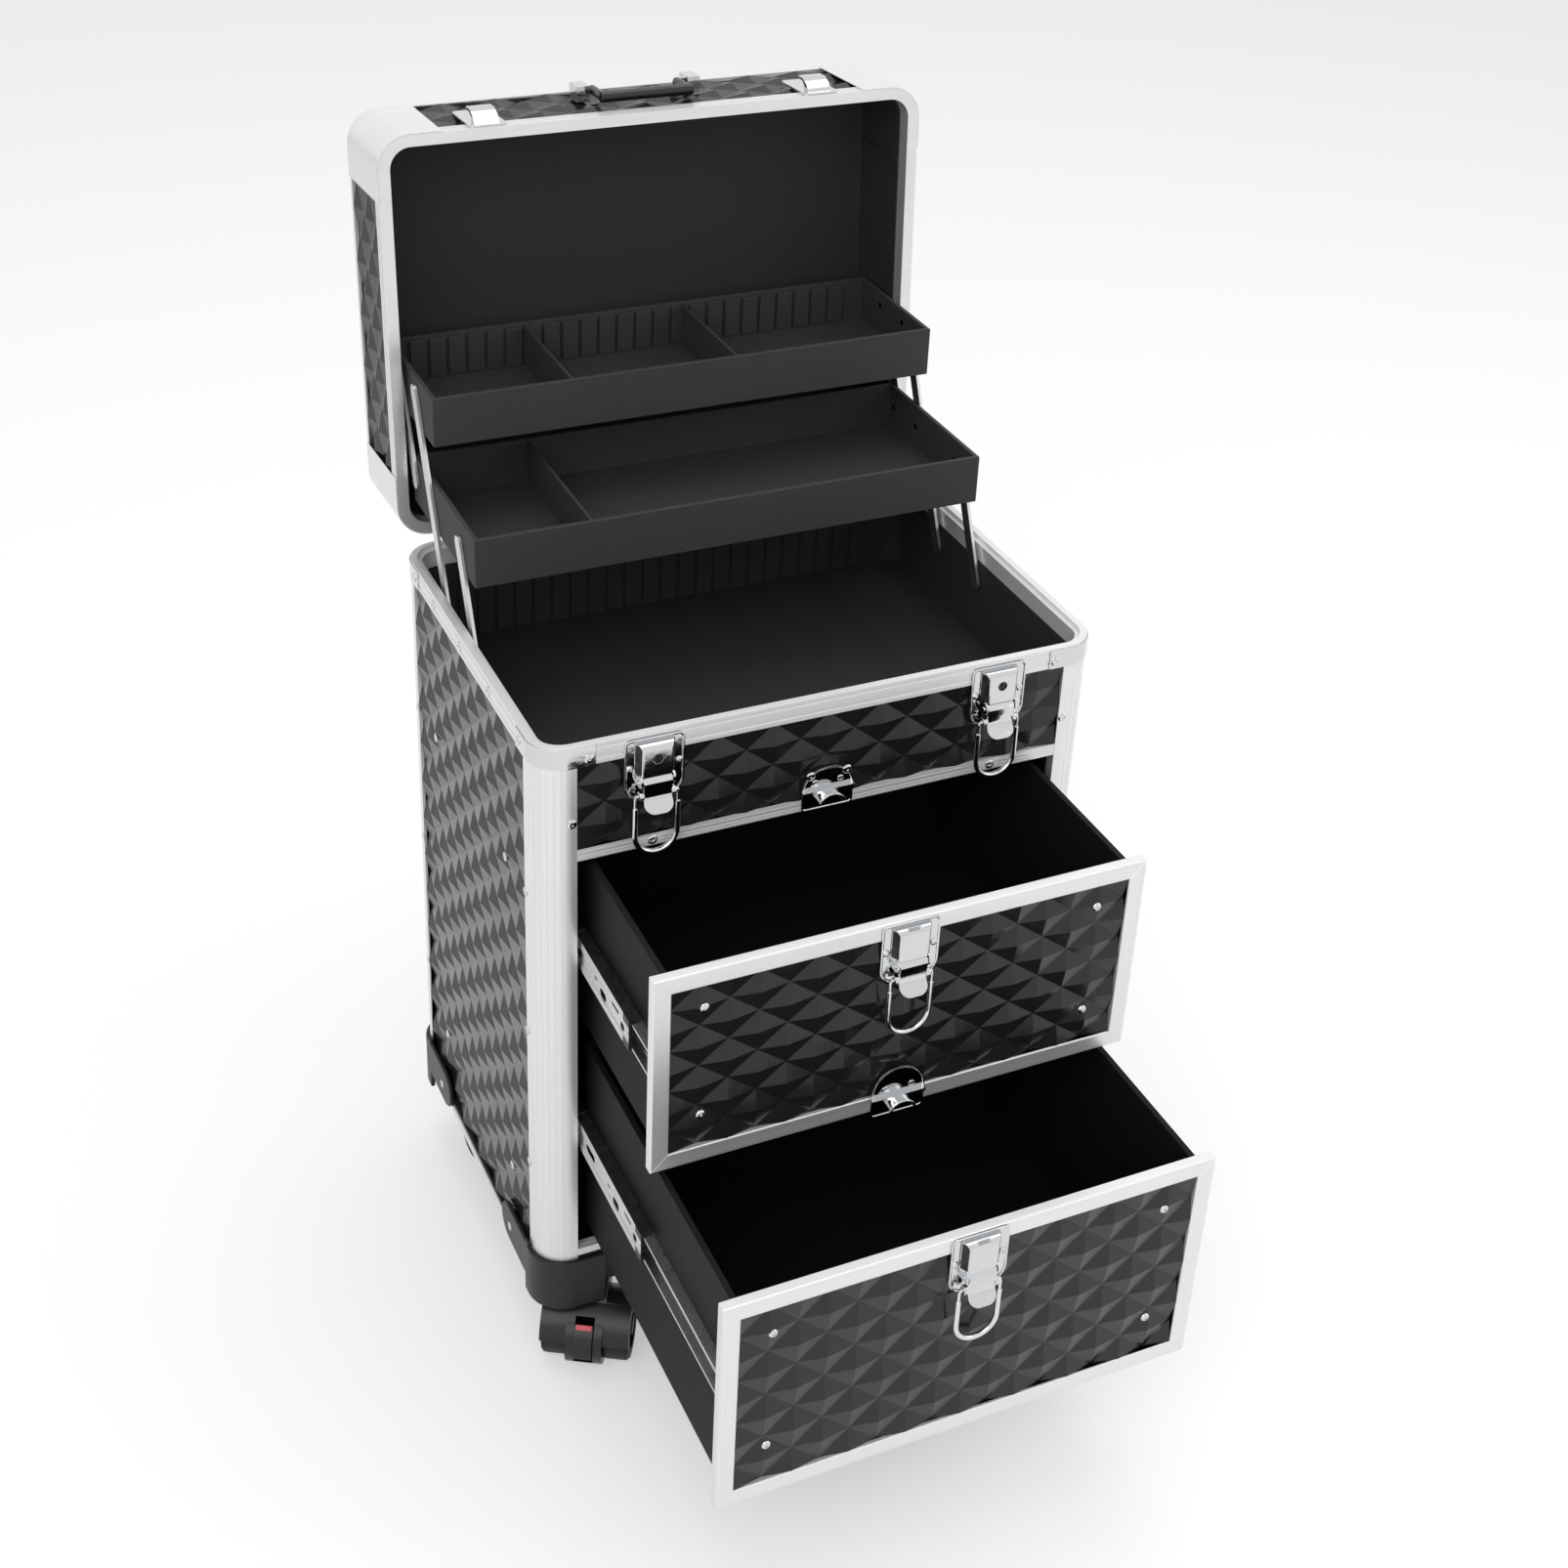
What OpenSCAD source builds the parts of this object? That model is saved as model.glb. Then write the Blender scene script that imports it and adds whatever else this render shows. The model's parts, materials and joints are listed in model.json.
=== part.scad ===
// Rolling vanity case with a hinged lid, two cantilever trays and two drawers.
// It is drawn as it stands open: lid up, trays raised, both drawers pulled out.
// X runs to the right seen from the front, the front faces -Y and +Z is up.
// The origin lies on the floor under the middle of the open case.

/* [Body] */
// Outer width of the body
body_w = 365; // [340:1:400]
// Outer depth of the body
body_d = 262; // [250:1:285]
// Height of the four corner columns
column_h = 377; // [370:1:410]
// How far the base reaches below the columns
base_drop = 25; // [22:1:32]
// Outer radius of the upright corners
corner_r = 21; // [18:0.5:24]
// Width of the column flanges that hold the skins
flange_w = 3; // [2:0.5:5]
// Thickness of the wall boards with their lining
board_t = 4; // [3.5:0.5:6]
// Thickness of the embossed skin up to its peaks
skin_t = 3.5; // [2:0.1:4]
// Thickness of the base board
base_t = 8; // [6:1:12]
// Height of the top rim
rim_h = 14; // [12:1:18]
// How far the inner step of the rim lies below its top
rim_step = 2.5; // [1:0.5:4]

/* [Diamond pattern] */
// Width of one rhombus of the embossed skin
diamond_w = 35; // [28:1:44]
// Height of one rhombus of the embossed skin
diamond_h = 31; // [24:1:40]

/* [Rails] */
// Height of the fixed front panel between its rail and the rim
panel_h = 56.9; // [54:0.1:62]
// Height of the rail under the fixed front panel
panel_rail_h = 8; // [6:0.5:10]
// Height of the bottom rail
bottom_rail_h = 5.5; // [4:0.5:7]
// Height of the bottom rail above the foot of the columns
bottom_rail_z = 2.5; // [1:0.5:4]

/* [Drawers] */
// Height of the upper drawer front; the lower one takes what is left
drawer_1_h = 137; // [125:1:142]
// How far the upper drawer stands open
drawer_1_out = 113.6; // [60:0.1:150]
// How far the lower drawer stands open
drawer_2_out = 219.4; // [150:0.1:222]
// Gap above and between the drawer fronts
drawer_gap = 4.3; // [3:0.1:6]
// Gap beside and under the drawer fronts
drawer_side_gap = 2; // [1:0.1:3]
// Visible width of the drawer front frame
frame_w = 11; // [8:0.5:14]
// Depth of the drawer front frame
frame_t = 7; // [6.8:0.1:9]
// Thickness of the board behind the drawer skin
front_t = 3.2; // [3:0.1:4.2]
// Thickness of the drawer box boards
box_t = 4; // [3:0.5:5]
// Gap between the closed drawer boxes and the rear columns
box_end_gap = 3; // [2:0.5:8]

/* [Slides] */
// Gap between the slides and the rear columns
slide_end_gap = 7; // [5:0.5:12]
// Height of the slides
slide_h = 24; // [22:1:32]
// Overall thickness of a slide
slide_t = 10; // [9:0.5:12]
// Sheet thickness of the slide members
slide_sheet = 1.2; // [1:0.1:1.5]
// Middle of the slides below the top of their drawer front
slide_drop = 63; // [58:0.5:68]
// How far the upper drawer's middle rails follow it, as a share
middle_1_share = 0.76; // [0.5:0.01:0.8]
// How far the lower drawer's middle rails follow it, as a share
middle_2_share = 0.5; // [0.45:0.01:0.6]

/* [Lid] */
// Height of the closed lid
lid_h = 74; // [72:1:90]
// Opening angle of the lid as it stands open
lid_angle = 93.3; // [91:0.1:96]
// Gap between the closed lid and the body
lid_gap = 0.3; // [0.2:0.1:0.6]
// Height of the mouth rim of the lid
lid_rim_h = 11; // [9:0.5:14]
// Reach of the edge frame over the faces of the lid
edge_w = 9; // [7:0.5:12]
// Outer radius of the edge frame
edge_r = 6; // [4:0.5:7]
// Reach of the corner wraps past the round corners
wrap_w = 20; // [14:1:26]
// Thickness of the corner wraps
wrap_t = 0.8; // [0.6:0.1:1.2]

/* [Hinges] */
// Distance of the hinge pin behind the back of the body
hinge_out = 4; // [3.6:0.1:5]
// Radius of the hinge knuckles
knuckle_r = 3; // [2.6:0.1:3.2]
// Radius of the hinge pin
hinge_pin_r = 1.5; // [1.2:0.1:1.8]
// Length of one hinge
hinge_l = 60; // [45:1:80]
// Distance of the middle of each hinge from the side of the body
hinge_in = 72.5; // [72:0.5:100]

/* [Trays] */
// Clearance between each tray side and the body wall
tray_side_gap = 4; // [3.8:0.1:6]
// Depth of the lower tray
lower_tray_d = 126; // [110:1:126]
// Depth of the upper tray
upper_tray_d = 100; // [85:1:100]
// Height of both trays
tray_h = 32.5; // [28:0.5:32.5]
// Thickness of the tray walls
tray_t = 3; // [2:0.5:4]
// Thickness of the tray dividers
divider_t = 2; // [1.5:0.5:3]
// Distance between the divider ribs
rib_pitch = 13; // [10:1:18]
// Size of one divider rib
rib_t = 1.2; // [0.8:0.1:2]

/* [Tray arms] */
// Lean of the arms behind the upright with the trays up
arm_lean = 25; // [18:0.5:26]
// Length of the long arm from the body to the lower tray
arm_low_l = 83.2; // [80:0.1:84]
// Length of the long arm from the lower to the upper tray
arm_high_l = 70.8; // [70.2:0.1:71.4]
// Distance between the two body pivots of a side
arm_base = 55; // [48:1:58]
// Width of the arms
arm_w = 9; // [7:0.5:10]
// Thickness of the arms
arm_t = 2; // [1.5:0.1:2.2]
// Radius of the arm pivots
arm_pin_r = 2; // [1.5:0.1:2.4]
// Depth of the body pivots below the rim top
arm_pivot_drop = 29; // [27:0.5:31]
// Distance of the long arm's body pivot behind the middle
arm_pivot_y = 60; // [54:1:61]

/* [Latches] */
// Distance of the body latches from the sides of the body
latch_in = 70.5; // [66:0.5:90]
// Width of a latch plate
latch_w = 37; // [34:0.5:40]
// Height of a latch plate
latch_h = 41; // [40:0.5:44]
// Thickness of the latch plates
latch_t = 1.4; // [1:0.1:2]
// Radius of the bail wire
wire_r = 1.3; // [1:0.1:1.4]
// Radius of the round bends at the end of a bail
bail_bend = 12; // [5:0.5:13]
// Width of the bail between the middles of its legs
bail_w = 26.8; // [26.4:0.1:28]
// Length of the bail from its pivot to the far wire
bail_l = 41; // [36:0.5:42]

/* [Casters] */
// Height of the base above the floor
caster_h = 65; // [63:1:72]
// Radius of the caster wheels
wheel_r = 22.5; // [18:0.5:23]
// Width of one wheel
wheel_w = 17; // [14:0.5:18]
// Distance of the axle behind the swivel
caster_trail = 22; // [18:1:24]
// Distance of the swivel from the side of the body
caster_in_x = 46; // [42:1:50]
// Distance of the swivel from the front and back of the body
caster_in_y = 27; // [26:1:34]
// Radius of the swivel stem
stem_r = 5; // [4:0.5:6]
// Radius of the axle
axle_r = 3; // [2.5:0.5:4]
// Lowest height of the corner guards below the base
guard_drop = 15; // [11:0.5:16]
// Thickness of the corner guards
guard_t = 3; // [2.5:0.1:4]
// Length of the guard arms along the sides
guard_side_l = 74; // [60:1:85]
// Length of the guard arms along the front and back
guard_front_l = 42; // [36:1:45]

/* [Carrying handle] */
// Length of the folding handle on the lid
lid_handle_l = 66; // [56:1:80]
// Radius of the handle bar
lid_handle_r = 3.6; // [3:0.1:4.4]

/* [Trolley handle] */
// Distance between the two trolley tubes
trolley_w = 120; // [100:1:140]
// Radius of the outer trolley tubes
trolley_r = 8; // [7:0.5:9]
// Wall of the trolley tubes
trolley_wall = 1.2; // [1:0.1:1.6]
// Length of the outer trolley tubes
trolley_l = 330; // [280:1:335]

/* [Hidden] */
$fn = 48;

// Colours
black = [0.09, 0.09, 0.10];
gloss_black = [0.13, 0.13, 0.14];
silver = [0.76, 0.77, 0.78];
chrome = [0.86, 0.87, 0.88];
steel = [0.66, 0.67, 0.69];
zinc = [0.60, 0.61, 0.62];
red = [0.80, 0.10, 0.13];

// Clearances
gap = 0.3;
pin_play = 0.05;

// Body
half_w = body_w / 2;
half_d = body_d / 2;
wall = skin_t + board_t;
inner_x = half_w - wall;
inner_y = half_d - wall;
column_c = corner_r + flange_w;
open_x = half_w - column_c;
open_y = half_d - column_c;
foot_z = caster_h + base_drop;
panel_z = caster_h + base_t;
rim_z = foot_z + column_h;
top_z = rim_z + rim_h;
rail_z = foot_z + bottom_rail_z;
skin_base = 0.6;
skin_relief = skin_t - skin_base;
rivet_sink = 0.7;
edge_strip = [1.2, 6];
rivet_r = 3;
rivet_h = 1;
ridge = [1.4, 0.5];
flute = [1.6, 0.25];

// Rivets, as shares of the column height and of half the depth
column_rivet_at = [72 / 377, 178 / 377, 282 / 377];
skin_rivet_at = [35 / 377, 281 / 377];
rim_rivet_at = [-45 / 131, 10 / 131, 64 / 131];
skin_rivet_in = 61;
wrap_rivet_in = 29;
guard_rivet_in = 56;
rim_rivet_rise = 3.6;
front_wrap_rivet_in = 31;
flange_rivet_drop = 38;
catch_rivet = [12, 25];

// Drawers: [distance out, underside of the front, height of the front]
panel_rail_top = rim_z - panel_h;
panel_rail_z = panel_rail_top - panel_rail_h;
drawer_1_z = panel_rail_z - drawer_gap - drawer_1_h;
drawer_2_z = rail_z + bottom_rail_h + drawer_side_gap;
drawer_2_h = drawer_1_z - drawer_gap - drawer_2_z;
drawer_1 = [drawer_1_out, drawer_1_z, drawer_1_h];
drawer_2 = [drawer_2_out, drawer_2_z, drawer_2_h];
front_w = 2 * (open_x - drawer_side_gap);
box_x = open_x - slide_t;
box_front_y = -half_d + frame_t;
lining_t = 1;
box_d = open_y - box_end_gap - box_front_y;
slide_l = open_y - slide_end_gap - box_front_y;
box_drop = 3;
box_lift = 8;
slide_play = 0.3;

// Hinges
hinge_y = half_d + hinge_out;
hinge_z = top_z + lid_gap / 2;
hinge_x = half_w - hinge_in;
leaf_t = 1.2;
leaf_l = 20;

// Lid: the square top skin stays clear of the round corners of the edge frame
top_skin_in = edge_w + (corner_r - edge_w) * (1 - sqrt(0.5));

// Tray arms, all in the plane across the case
arm_pivot_z = top_z - arm_pivot_drop;
function along_arm(l) = [l * sin(arm_lean), l * cos(arm_lean)];
low_pivot = [arm_pivot_y, arm_pivot_z] + along_arm(arm_low_l);
high_pivot = low_pivot + along_arm(arm_high_l);
tray_x = inner_x - tray_side_gap;
arm_x = tray_x + gap;
low_pivot_h = 17.8;
high_pivot_h = 23.6;
low_pivot_in = 28.2;
high_pivot_in = 35.1;
rear_pivot_in = 10;
rear_reach = lower_tray_d - rear_pivot_in - low_pivot_in - arm_base;

// Latches
latch_drop = 30;
latch_body_z = rim_z - latch_drop;
latch_x = half_w - latch_in;
catch_foot = 1;
lid_catch = [24, 38, 16];
rail_catch = [34, 29, 14];
drawer_catch = [35, 34, 14];
drawer_catch_drop = 4;
lever_pivot = [-4.5, 14];
bail_pivot = [-5, 5];
lever_pin_r = 1.5;
lever_w = 18;
boss_w = 22.4;
ear_t = 1.5;
ear_r = 3.4;
lever_reach = 12.5;

// Carrying handle: its brackets, pivots and bar, by their height over the mouth
bracket_w = 8.7;
bracket_out = 10;
bracket_z = [37, 51];
handle_out = 5.5;
handle_pivot_z = 44;
handle_bar_z = 24;
handle_pin_r = 2;
handle_leg_r = 3;
handle_leg_in = 4;
handle_pin_in = 7;

// Trolley handle
trolley_y = half_d + 2 + trolley_r;
trolley_z = panel_z + 10;
trolley_top = trolley_z + trolley_l;
inner_tube_r = trolley_r - trolley_wall - gap;
grip_h = 18;
button_w = 30;

// Casters
caster_x = half_w - caster_in_x;
caster_y = half_d - caster_in_y;
web_t = 24;
hood_t = 2;
nose = 8;
brake_w = 12;
brake_pin_r = 1.5;
brake_x = nose + 1;
guard_arm_h = 28;

// The footprint of the open case is centred on the origin
lid_lean = lid_angle - 90;
front_reach = half_d + drawer_2_out + lever_reach;
back_reach = hinge_y + (lid_h + lid_gap) * cos(lid_lean) + (hinge_y + half_d) * sin(lid_lean);
case_y = (front_reach - back_reach) / 2;

// Plane outlines
module rounded_rect(w, d, r) {
    square([w - 2 * r, d], center = true);
    square([w, d - 2 * r], center = true);
    for (sx = [-1, 1], sy = [-1, 1])
        translate([sx * (w / 2 - r), sy * (d / 2 - r)]) circle(r);
}

// Quarter plane behind a rounded corner whose sharp corner is the origin
module quarter(reach, r, inset) {
    translate([-reach, -reach]) square([reach - r, reach - inset]);
    translate([-reach, -reach]) square([reach - inset, reach - r]);
    translate([-r, -r]) circle(r - inset);
}

// Angle profile with a rounded outer corner at the origin
module corner_profile(reach, r, t) {
    intersection() {
        translate([-reach, -reach]) square(reach);
        difference() {
            quarter(2 * reach, r, 0);
            quarter(2 * reach + 1, r, t);
        }
    }
}

// Placing and repeating
module in_case() translate([0, case_y, 0]) children();

module if_mirrored(on, axis) {
    if (on) mirror(axis) children();
    else children();
}

module at_corners(w, d) {
    for (sx = [-1, 1], sy = [-1, 1])
        translate([sx * w / 2, sy * d / 2, 0])
            if_mirrored(sx < 0, [1, 0, 0])
                if_mirrored(sy < 0, [0, 1, 0]) children();
}

module both_sides() {
    children();
    mirror([1, 0, 0]) children();
}

// Prism along X whose outline is drawn in Y and Z
module x_prism(l) {
    translate([-l / 2, 0, 0]) rotate([90, 0, 90]) linear_extrude(l) children();
}

module x_rod(r, l) {
    translate([-l / 2, 0, 0]) rotate([0, 90, 0]) cylinder(r = r, h = l);
}

module block(x, y, z) {
    translate([x[0], y[0], z[0]]) cube([x[1] - x[0], y[1] - y[0], z[1] - z[0]]);
}

// Sweep of a profile round a rounded rectangle, x = 0 at its outer face
module rim_sweep(w, d, r) {
    at_corners(w, d)
        translate([-r, -r, 0]) rotate_extrude(angle = 90) translate([r, 0]) children();
    for (s = [0, 1]) {
        if_mirrored(s == 1, [0, 1, 0])
            translate([r - w / 2, d / 2, 0])
                rotate([90, 0, 90]) linear_extrude(w - 2 * r) children();
        if_mirrored(s == 1, [1, 0, 0])
            translate([w / 2, d / 2 - r, 0])
                rotate([90, 0, 0]) linear_extrude(d - 2 * r) children();
    }
}

// Half rhombuses across and up an embossed skin
function skin_cells(w, h) = [2 * max(1, round(w / diamond_w)), 2 * max(1, round(h / diamond_h))];

// How far a rivet at x, y from the middle of a skin sinks below the skin's peaks
function rivet_depth(x, y, w, h) =
    let(n = skin_cells(w, h), a = (x / w + 0.5) * n[0], b = (y / h + 0.5) * n[1],
        i = floor(a), j = floor(b), u = a - i, v = b - j)
    max(0, skin_relief * (1 - abs((i + j) % 2 == 0 ? 1 - u - v : u - v)) - rivet_sink);

// Embossed skin in X and Y, flat side at z = 0, rhombus peaks at z = skin_t
module diamond_skin(w, h) {
    nx = skin_cells(w, h)[0];
    ny = skin_cells(w, h)[1];
    function at(i, j) = i + j * (nx + 1);
    front = [for (j = [0 : ny], i = [0 : nx])
        [w * (i / nx - 0.5), h * (j / ny - 0.5), skin_t - ((i + j) % 2) * skin_relief]];
    around = concat(
        [for (i = [0 : nx - 1]) at(i, 0)],
        [for (j = [0 : ny - 1]) at(nx, j)],
        [for (i = [nx : -1 : 1]) at(i, ny)],
        [for (j = [ny : -1 : 1]) at(0, j)]
    );
    back = [for (k = around) [front[k][0], front[k][1], 0]];
    b = len(front);
    n = len(around);
    cells = [for (j = [0 : ny - 1], i = [0 : nx - 1], k = [0, 1])
        (i + j) % 2 == 0
            ? (k == 0 ? [at(i, j), at(i, j + 1), at(i + 1, j)]
                      : [at(i + 1, j), at(i, j + 1), at(i + 1, j + 1)])
            : (k == 0 ? [at(i, j), at(i + 1, j + 1), at(i + 1, j)]
                      : [at(i, j), at(i, j + 1), at(i + 1, j + 1)])];
    edges = [for (k = [0 : n - 1])
        [b + k, around[k], around[(k + 1) % n], b + (k + 1) % n]];
    bottom = [for (k = [0 : n - 1]) [b + k, b + (k + 1) % n, b + n]];
    polyhedron(concat(front, back, [[0, 0, 0]]), concat(cells, edges, bottom),
        convexity = 10);
}

// A skin that faces the front, the back, the left or the right
module front_facing(y) translate([0, y, 0]) rotate([90, 0, 0]) children();
module back_facing(y) translate([0, y, 0]) rotate([90, 0, 180]) children();
module side_facing(x) translate([x, 0, 0]) rotate([90, 0, 90]) children();

// Domed rivet head on the plane z = 0
module rivet() {
    rotate_extrude() {
        intersection() {
            translate([0, rivet_h - rivet_r * 1.6]) circle(rivet_r * 1.6);
            square([rivet_r, rivet_h]);
        }
    }
}

module front_rivet(x, z, y) translate([x, y, z]) rotate([90, 0, 0]) rivet();

// Body
module arm_bores() {
    for (y = [arm_pivot_y, arm_pivot_y - arm_base])
        translate([0, y, arm_pivot_z]) x_rod(arm_pin_r + pin_play, body_w + 2);
}

module wall_boards() {
    color(black) in_case() {
        difference() {
            both_sides()
                block([inner_x, half_w - skin_t], [-open_y, open_y], [panel_z, rim_z]);
            arm_bores();
        }
        block([-open_x, open_x], [inner_y, half_d - skin_t], [panel_z, rim_z]);
        block([-open_x, open_x], [skin_t - half_d, -inner_y], [panel_rail_top, rim_z]);
    }
}

module stem_places() {
    for (sx = [-1, 1], sy = [-1, 1]) translate([sx * caster_x, sy * caster_y, 0]) children();
}

module floor_boards() {
    color(black) in_case() {
        difference() {
            translate([0, 0, caster_h]) linear_extrude(base_t)
                rounded_rect(body_w, body_d, corner_r);
            stem_places() translate([0, 0, caster_h - 1])
                cylinder(r = stem_r + pin_play, h = base_t + 2);
        }
        at_corners(body_w, body_d) translate([0, 0, panel_z]) linear_extrude(foot_z - panel_z)
            corner_profile(column_c, corner_r, wall);
        block([-open_x, open_x], [-half_d, -inner_y], [panel_z, rail_z]);
        translate([0, 0, panel_rail_top - board_t]) linear_extrude(board_t)
            rounded_rect(2 * inner_x, 2 * inner_y, corner_r - wall);
        both_sides()
            for (d = [drawer_1, drawer_2])
                block([open_x, inner_x], [-open_y, box_front_y + slide_l],
                    [slide_z(d) - slide_h / 2 - 2, slide_z(d) + slide_h / 2 + 2]);
    }
}

module side_skins() {
    color(gloss_black) in_case() both_sides()
        translate([0, 0, (panel_z + rim_z) / 2])
            side_facing(half_w - skin_t) diamond_skin(2 * open_y, rim_z - panel_z);
}

module front_skin() {
    color(gloss_black) in_case()
        translate([0, 0, (panel_rail_top + rim_z) / 2])
            front_facing(skin_t - half_d) diamond_skin(2 * open_x, rim_z - panel_rail_top);
}

module back_skin() {
    color(gloss_black) in_case()
        translate([0, 0, (panel_z + rim_z) / 2])
            back_facing(half_d - skin_t) diamond_skin(2 * open_x, rim_z - panel_z);
}

module column_section() {
    difference() {
        corner_profile(column_c, corner_r, wall);
        for (a = [15 : 12 : 75])
            translate([-corner_r, -corner_r]) rotate(a)
                translate([corner_r - flute[1], -flute[0] / 2]) square(flute);
    }
}

module corner_columns() {
    color(silver) in_case() at_corners(body_w, body_d)
        translate([0, 0, foot_z]) linear_extrude(column_h) column_section();
}

module top_rim() {
    color(silver) in_case() rim_sweep(body_w, body_d, corner_r)
        difference() {
            translate([-wall, rim_z]) square([wall, rim_h]);
            translate([-wall, top_z - rim_step]) square([wall - 4.5, rim_step]);
            for (h = [3, rim_h - 4])
                translate([-ridge[1], rim_z + h]) square([ridge[1], ridge[0]]);
        }
}

// Thin wrap round an upright corner
module corner_wrap(reach, z0, z1) {
    at_corners(body_w + 2 * wrap_t, body_d + 2 * wrap_t)
        translate([0, 0, z0]) linear_extrude(z1 - z0)
            corner_profile(corner_r + reach + wrap_t, corner_r + wrap_t, wrap_t);
}

module rim_corner_wraps() {
    color(chrome) in_case() corner_wrap(wrap_w * 0.7, rim_z, top_z - 1);
}

module front_rails() {
    color(silver) in_case() {
        block([-open_x, open_x], [-half_d, -inner_y], [panel_rail_z, panel_rail_top]);
        block([-open_x, open_x], [-half_d, -inner_y], [rail_z, rail_z + bottom_rail_h]);
        both_sides()
            block([half_w, half_w + edge_strip[0]],
                [guard_side_l - half_d, half_d - guard_side_l],
                [caster_h, caster_h + edge_strip[1]]);
        block([guard_front_l - half_w, half_w - guard_front_l],
            [half_d, half_d + edge_strip[0]], [caster_h, caster_h + edge_strip[1]]);
    }
}

// Moulded corner guard: a wrap round the corner with one arm along each face
module corner_guards() {
    low = caster_h - guard_drop;
    arm_low = caster_h - 2;
    straight = guard_side_l - corner_r - guard_arm_h / 2;
    color(black) in_case() at_corners(body_w, body_d) {
        translate([-corner_r, -corner_r, low]) rotate_extrude(angle = 90)
            translate([corner_r, 0]) square([guard_t, foot_z - low]);
        translate([0, -corner_r, 0]) rotate([90, 0, 90]) mirror([1, 0, 0])
            linear_extrude(guard_t) {
                translate([0, arm_low]) square([straight, guard_arm_h]);
                translate([straight, arm_low + guard_arm_h / 2]) circle(guard_arm_h / 2);
                translate([0, low]) square([2 * flange_w, foot_z + flange_w - low]);
            }
        translate([-corner_r, 0, 0]) rotate([90, 0, 180]) linear_extrude(guard_t)
            translate([0, low]) square([guard_front_l - corner_r, foot_z - low]);
    }
}

module side_rivet(y, z, x) translate([x, y, z]) rotate([0, 90, 0]) rivet();

module body_rivets() {
    flange_y = open_y + flange_w / 2;
    color(chrome) in_case() {
        both_sides() {
            for (t = column_rivet_at, sy = [-1, 1])
                side_rivet(sy * flange_y, foot_z + t * column_h, half_w);
            for (t = skin_rivet_at, y = [skin_rivet_in - half_d, half_d - skin_rivet_in])
                let(z = foot_z + t * column_h)
                    side_rivet(y, z, half_w - rivet_depth(y, z - (panel_z + rim_z) / 2,
                        2 * open_y, rim_z - panel_z));
            for (t = rim_rivet_at)
                side_rivet(t * half_d, rim_z + rivet_r + rim_rivet_rise, half_w);
            for (sy = [-1, 1]) {
                side_rivet(sy * (half_d - wrap_rivet_in), rim_z + rivet_r + rim_rivet_rise,
                    half_w + wrap_t);
                side_rivet(sy * (half_d - guard_rivet_in), caster_h - 2 + guard_arm_h / 2,
                    half_w + guard_t);
            }
            front_rivet(latch_x, panel_rail_z + panel_rail_h / 2, -half_d);
            front_rivet(half_w - front_wrap_rivet_in, rim_z + rivet_r + 2, -half_d - wrap_t);
            front_rivet(open_x + rivet_r + gap, rim_z - flange_rivet_drop, -half_d);
        }
        for (s = [-1, 1])
            front_rivet(s * catch_rivet[0], panel_rail_z + catch_rivet[1], -half_d - latch_t);
    }
}

// Latches, drawn with their foot at the origin and facing -Y
module at_latch(x, z, out) in_case() translate([x, -half_d - out, z]) children();

module latch_plate(keyhole) {
    difference() {
        translate([0, 0, latch_h / 2]) rotate([90, 0, 0]) linear_extrude(latch_t)
            rounded_rect(latch_w, latch_h, 5);
        if (keyhole) translate([0, 1, latch_h - 12]) rotate([90, 0, 0])
            cylinder(r = 1.4, h = latch_t + 0.6);
    }
    difference() {
        translate([0, -latch_t, latch_h - 11]) rotate([90, 0, 0]) linear_extrude(4.6)
            rounded_rect(22, 17, 3);
        if (keyhole) translate([0, 0, latch_h - 12]) rotate([90, 0, 0])
            cylinder(r = 2.4, h = 12);
    }
    for (s = [-1, 1]) {
        translate([s * (lever_w / 2 + gap + ear_t / 2), 0, 0]) x_prism(ear_t) {
            translate([lever_pivot[0], lever_pivot[1] - ear_r])
                square([-lever_pivot[0], 2 * ear_r]);
            translate(lever_pivot) circle(ear_r);
        }
        translate([s * (latch_w / 2 - 3.8), -latch_t, latch_h - 19])
            rotate([90, 0, 0]) rivet();
    }
    translate([0, lever_pivot[0], lever_pivot[1]])
        x_rod(lever_pin_r, lever_w + 2 * (gap + ear_t));
}

module latch_lever() {
    difference() {
        union() {
            x_prism(lever_w) {
                translate(lever_pivot) circle(2.8);
                polygon([[-1.9, 12], [-7, 14.6], [-8, 8], [-8, 2], [-lever_reach, -3.6],
                    [-11.4, -5], [-6.4, -1.6], [-1.9, 2]]);
            }
            translate([0, bail_pivot[0], bail_pivot[1]]) x_rod(3.1, boss_w);
        }
        translate([0, lever_pivot[0], lever_pivot[1]])
            x_rod(lever_pin_r + pin_play, lever_w + 2);
        for (s = [-1, 1])
            translate([s * (boss_w / 2 - 1), bail_pivot[0], bail_pivot[1]])
                x_rod(wire_r + pin_play, 5);
    }
}

module latch_bail() {
    leg_l = bail_l - bail_bend;
    translate([0, bail_pivot[0], bail_pivot[1]]) {
        both_sides() {
            translate([bail_w / 2, 0, -leg_l]) cylinder(r = wire_r, h = leg_l);
            translate([bail_w / 2, 0, 0]) sphere(r = wire_r);
            translate([boss_w / 2 - 2.8, 0, 0]) rotate([0, 90, 0])
                cylinder(r = wire_r, h = bail_w / 2 - boss_w / 2 + 2.8);
            translate([bail_w / 2 - bail_bend, 0, -leg_l]) rotate([90, 90, 0])
                rotate_extrude(angle = 90) translate([bail_bend, 0]) circle(wire_r);
        }
        translate([0, 0, -bail_l]) x_rod(wire_r, bail_w - 2 * bail_bend);
    }
}

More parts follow.
